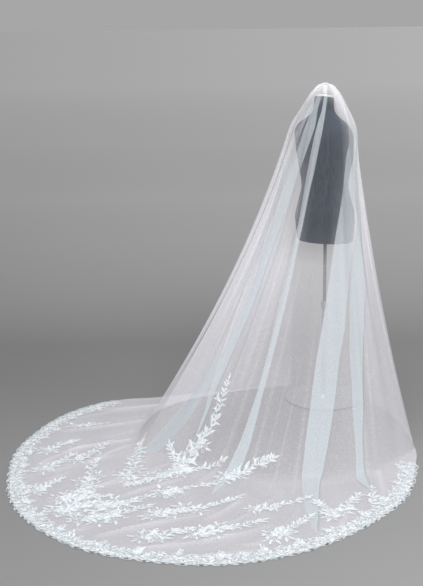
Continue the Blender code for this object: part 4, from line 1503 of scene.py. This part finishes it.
def turned(
    name: str, profile: list[tuple[float, float]], material: Material,
    place: Vector = Vector((0, 0, 0)), tilt: float = 0.0, around: int = 72,
) -> Solid:
    """Turn a closed profile, from its foot on the axis to its top on the axis.

    Args:
        name: The piece's name.
        profile: Radius and height of each point, from the bottom up.
        material: What it is made of.
        place: Where its foot is.
        tilt: How far it leans towards -Y.
        around: How many facets it has.

    Returns:
        The piece.
    """
    angle = np.linspace(0, TAU, around, endpoint=False)
    rings = np.array(profile[1:-1])
    x = rings[:, :1] * np.cos(angle)
    y = rings[:, :1] * np.sin(angle)
    z = np.repeat(rings[:, 1:], around, axis=1)
    points = np.stack([x, y, z], axis=-1).reshape(-1, 3)
    points, faces = capped(points, around, profile[0][1] * UP, profile[-1][1] * UP)
    spin = np.array(Matrix.Rotation(tilt, 3, "X"))
    made = new_object(name, points @ spin.T + np.array(place), faces, material)
    made.data.set_sharp_from_angle(angle=math.radians(50))
    return made


def rod(radius: float, low: float, high: float, edge: float) -> list[tuple[float, float]]:
    """The profile of a round bar or disc with softened edges."""
    return rounded([(0, low), (radius, low), (radius, high), (0, high)], edge)


@dataclass
class Stand:
    """The round base, the two tubes of the pole and the collar between them."""

    base_radius: float = 0.190
    base_thick: float = 10 * MM
    flange_radius: float = 36 * MM
    flange_height: float = 14 * MM
    lower_radius: float = 12.5 * MM
    upper_radius: float = 8 * MM
    collar_radius: float = 17 * MM
    collar_bottom: float = 0.470
    collar_height: float = 34 * MM

    def build(self, clear: Material, chrome: Material, plastic: Material, steel: Material) -> None:
        """Make the pieces and hand them to the frame.

        Args:
            clear: The base's glass.
            chrome: The lower tube and its flange.
            plastic: The collar.
            steel: The upper tube.
        """
        base = turned("stand_base", rod(self.base_radius, 0, self.base_thick, 1.4 * MM), clear, around=144)
        finish_piece(base, "glass", "base_disc")
        low = self.base_thick + GAP
        high = low + self.flange_height
        flange = rounded([
            (0, low), (self.flange_radius, low), (self.flange_radius, low + 3 * MM),
            (self.flange_radius - 6 * MM, low + 6 * MM), (self.lower_radius + 3 * MM, high), (0, high),
        ], 2 * MM)
        finish_piece(turned("stand_flange", flange, chrome), "chrome", "base_flange")
        lower = rod(self.lower_radius, high + GAP, self.collar_bottom - GAP, 0.8 * MM)
        finish_piece(turned("stand_pole_lower", lower, chrome), "chrome", "pole_lower")
        top = self.collar_bottom + self.collar_height
        collar = rod(self.collar_radius, self.collar_bottom, top, 4 * MM)
        finish_piece(turned("stand_collar", collar, plastic), "collar", "pole_collar")
        upper = rod(self.upper_radius, top + GAP, FORM_BOTTOM - GAP, 0.8 * MM)
        finish_piece(turned("stand_pole_upper", upper, steel), "dark_metal", "pole_upper")


@dataclass
class NeckTop:
    """The pale cap on the neck and the turned knob that carries the comb."""

    form: DressForm
    stem_radius: float = 6 * MM
    stem: float = 9 * MM
    radius: float = 13 * MM
    height: float = 42 * MM

    def build(self, material: Material) -> None:
        """Make both pieces and hand them to the frame."""
        form, axis = self.form, self.form.axis()
        foot = Vector(form.neck_top)
        cap = rod(form.cap_radius, 0, form.cap_thick, 2.5 * MM)
        made = turned("form_neck_cap", cap, material, foot + axis * GAP, form.tilt, 96)
        finish_piece(made, "ivory", "neck_cap")
        top = self.stem + self.height
        dome = [
            (self.radius * math.cos(a), top - self.radius * (1 - math.sin(a)))
            for a in np.linspace(0, math.pi / 2, 13)
        ]
        knob = rounded([
            (0, 0), (self.stem_radius, 0), (self.stem_radius, self.stem), (0.80 * self.radius, self.stem),
            (0.92 * self.radius, self.stem + 3 * MM), (self.radius, self.stem + 8 * MM),
        ], 1.2 * MM)
        place = foot + axis * (2 * GAP + form.cap_thick)
        made = turned("form_neck_knob", knob + dome, material, place, form.tilt)
        finish_piece(made, "ivory", "neck_knob")


@dataclass
class Comb:
    """The metal comb that the veil's gathered top is sewn to."""

    teeth: int = 9
    margin: float = 2.5 * MM
    wire: float = 0.9 * MM
    bar_tall: float = 5 * MM
    bar_edge: float = 1.4 * MM
    sunk: float = 1 * MM

    def build(self, material: Material) -> Solid:
        """Make the bar and grow its teeth with Geometry Nodes.

        Args:
            material: The comb's steel.

        Returns:
            The piece.
        """
        low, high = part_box("comb")
        tree, given = open_tree("comb_teeth", {
            "Bar": "Geometry", "Teeth": "Int", "Start": "Vector", "Pitch": "Vector", "Wire": "Float",
            "Tooth": "Vector", "Steel": "Material",
        }, "Comb")
        row = add_node(tree, "GeometryNodeMeshLine", {"mode": "OFFSET"}, {
            "Count": given["Teeth"], "Start Location": given["Start"], "Offset": given["Pitch"],
        })
        line = add_node(tree, "GeometryNodeCurvePrimitiveLine", None, {"End": given["Tooth"]})
        tooth = wires(tree, line.outputs[0], 10, given["Wire"])
        placed = add_node(tree, "GeometryNodeInstanceOnPoints", None, {
            "Points": row.outputs[0], "Instance": tooth,
        })
        real = add_node(tree, "GeometryNodeRealizeInstances", None, {"Geometry": placed.outputs[0]})
        close_tree(tree, joined(tree, given["Bar"], real.outputs[0]), given["Steel"])
        bar_low = high.z - self.bar_tall
        work = bmesh.new()
        bmesh.ops.create_cube(work, size=1)
        middle = Vector(((low.x + high.x) / 2, (low.y + high.y) / 2, (bar_low + high.z) / 2))
        size = Vector((high.x - low.x, high.y - low.y, self.bar_tall))
        for vert in work.verts:
            vert.co = Vector(a * b for a, b in zip(vert.co, size)) + middle
        bmesh.ops.bevel(
            work, geom=work.edges[:], offset=self.bar_edge, segments=4, affect="EDGES", profile=0.5
        )
        mesh = bpy.data.meshes.new("comb_bar")
        work.to_mesh(mesh)
        work.free()
        span = size.x - 2 * self.margin
        given = {
            "Teeth": self.teeth, "Start": (low.x + self.margin, middle.y, bar_low + self.sunk),
            "Pitch": (span / (self.teeth - 1), 0.0, 0.0), "Wire": self.wire,
            "Tooth": (0.0, 0.0, low.z - bar_low - self.sunk), "Steel": material,
        }
        comb = baked("hair_comb", linked("comb_bar", mesh), tree, given)
        comb.data.shade_smooth()
        comb.data.set_sharp_from_angle(angle=math.radians(40))
        return comb


@dataclass
class Studio:
    """The plain floor, the soft lights and the camera."""

    lens: float = 64.5
    camera: tuple[float, float, float] = (-2.0331, 4.5758, 1.82)
    right: tuple[float, float, float] = (-0.8652, -0.5012, -0.0145)
    up: tuple[float, float, float] = (0.1116, -0.2208, 0.9689)
    forward: tuple[float, float, float] = (0.4889, -0.8366, -0.2470)
    floor_size: float = 900.0
    lit_spot: ClassVar[Vector] = Vector((0.1, 0.6, 0.6))

    def floor(self) -> None:
        """Lay the pale floor, a little darker in the middle distance by painted shade, and brighter towards
        the camera's right by painted light.
        """
        made = bpy.data.materials.new("matt studio floor")
        made.use_nodes = True
        tree = made.node_tree
        shader = tree.nodes["Principled BSDF"]
        shader.inputs["Roughness"].default_value = 0.95
        place = add_node(tree, "ShaderNodeTexCoord").outputs["Object"]
        # The greys by depth are painted shade and light: darkest just behind the form, paler near the camera
        # and far away.
        depth = vectors(tree, "DOT_PRODUCT", place, (0.5046, -0.8634, 0.0))
        ramp = add_node(tree, "ShaderNodeValToRGB", None, {"Fac": remap(tree, depth, -4.0, 28.0, 0.0, 1.0)})
        # Painted light: the floor is brightened towards the camera's right, as by a lamp on that side.
        sideways = vectors(tree, "DOT_PRODUCT", place, (-0.8652, -0.5012, 0.0))
        reach = maths(tree, "MAXIMUM", maths(tree, "ADD", depth, 6.5), 4.0)
        gain = remap(tree, maths(tree, "DIVIDE", sideways, reach), -0.25, 0.18, 1.13, 1.42)
        lit = vectors(tree, "SCALE", ramp.outputs["Color"], gain)
        stops = (
            (0.065, "797979"), (0.085, "747474"), (0.11, "6f6f6f"), (0.135, "696969"), (0.155, "6a6a6a"),
            (0.19, "888888"), (0.25, "acacac"), (0.325, "c8c8c8"), (0.50, "dadada"), (1.0, "eaeaea"),
        )
        points = ramp.color_ramp.elements
        for index, (spot, code) in enumerate(stops):
            stop = points[index] if index < len(points) else points.new(spot)
            stop.position = spot
            stop.color = linear(code)
        tree.links.new(lit, shader.inputs["Base Color"])
        half = self.floor_size / 2
        corners = [(-half, -half, 0), (half, -half, 0), (half, half, 0), (-half, half, 0)]
        new_object("studio_floor", np.array(corners), [(0, 1, 2, 3)], made)

    def lights(self) -> None:
        """Hang the soft lights and set the even light of the room."""
        world = bpy.data.worlds.new("studio")
        bpy.context.scene.world = world
        world.use_nodes = True
        sky = world.node_tree.nodes["Background"]
        sky.inputs["Color"].default_value = linear("a7a7a8")
        sky.inputs["Strength"].default_value = 1.0
        for name, place, size, power in (
            ("key", (-3.2, 3.4, 3.6), 2.6, 110.0),
            ("fill", (3.4, 2.6, 2.6), 3.0, 40.0),
            ("front", (-2.6, 5.6, 2.4), 3.0, 90.0),
            ("side", (-3.6, -1.2, 2.4), 3.0, 60.0),
            ("top", (0.3, 0.8, 4.2), 3.0, 90.0),
        ):
            lamp = bpy.data.lights.new(name, "AREA")
            lamp.shape = "DISK"
            lamp.size = size
            lamp.energy = power
            made = linked(name, lamp)
            made.location = place
            made.rotation_euler = (self.lit_spot - Vector(place)).to_track_quat("-Z", "Y").to_euler()

    def view(self) -> None:
        """Place the camera where the photograph was taken from."""
        lens = bpy.data.cameras.new("camera")
        lens.sensor_fit = "VERTICAL"
        lens.sensor_height = 36
        lens.lens = self.lens
        lens.clip_end = 2000
        made = linked("camera", lens)
        turn = Matrix((self.right, self.up, tuple(-c for c in self.forward))).transposed()
        made.matrix_world = Matrix.Translation(self.camera) @ turn.to_4x4()
        bpy.context.scene.camera = made


def build_veil(shape: VeilShape) -> None:
    """Make the tulle and its lace and hand them to the frame."""
    tulle = Tulle(shape).build(TULLE.build())
    thread = LACE.build()
    sprays = LaceWork(shape)
    motifs = sprays.motif_meshes()
    tree = sprays.scatter_tree()
    for places, leaf, leaves, flowers, bloom in SPRAYS:
        sprays.sprig(np.array(places), leaf * MM, leaves, flowers, bloom * MM)
    spot, out = sprays.on_cloth(*RING_SPOT)
    sprays.add(Motif.RING, spot, out, np.array([1.0, 0.0, 0.0]), RING_WIDTH)
    spray_piece = sprays.build("veil_lace_sprays", tulle, motifs, tree, thread, None)
    edging = LaceWork(shape, seed=11)
    border = Border(shape)
    border.note(edging)
    border_piece = edging.build("veil_lace_border", tulle, motifs, tree, thread, border.ground())
    for motif in list(motifs.objects):
        bpy.data.objects.remove(motif, do_unlink=True)
    bpy.data.collections.remove(motifs)
    finish_piece(tulle, "tulle", "tulle_right_side", "tulle_back", "tulle_left_side", "tulle_train")
    finish_piece(border_piece, "lace", "lace_border")
    finish_piece(spray_piece, "lace", *sorted(name for name in frame["nodes"] if name.startswith("spray_")))


def main() -> None:
    """Build the whole object and its studio."""
    logging.basicConfig(level=logging.INFO, format="%(name)s: %(message)s")
    bpy.context.scene.view_settings.view_transform = "Standard"
    bpy.context.scene.cycles.transparent_max_bounces = 24
    studio = Studio()
    studio.view()
    studio.floor()
    studio.lights()
    Stand().build(GLASS.build(), CHROME.build(), PLASTIC.build(), DARK_STEEL.build())
    form = DressForm()
    finish_piece(form.torso(JERSEY.build()), "form", "torso")
    NeckTop(form).build(LACQUER.build())
    finish_piece(Comb().build(COMB_STEEL.build()), "comb", "comb")
    build_veil(VeilShape())


if __name__ == "__main__":
    main()
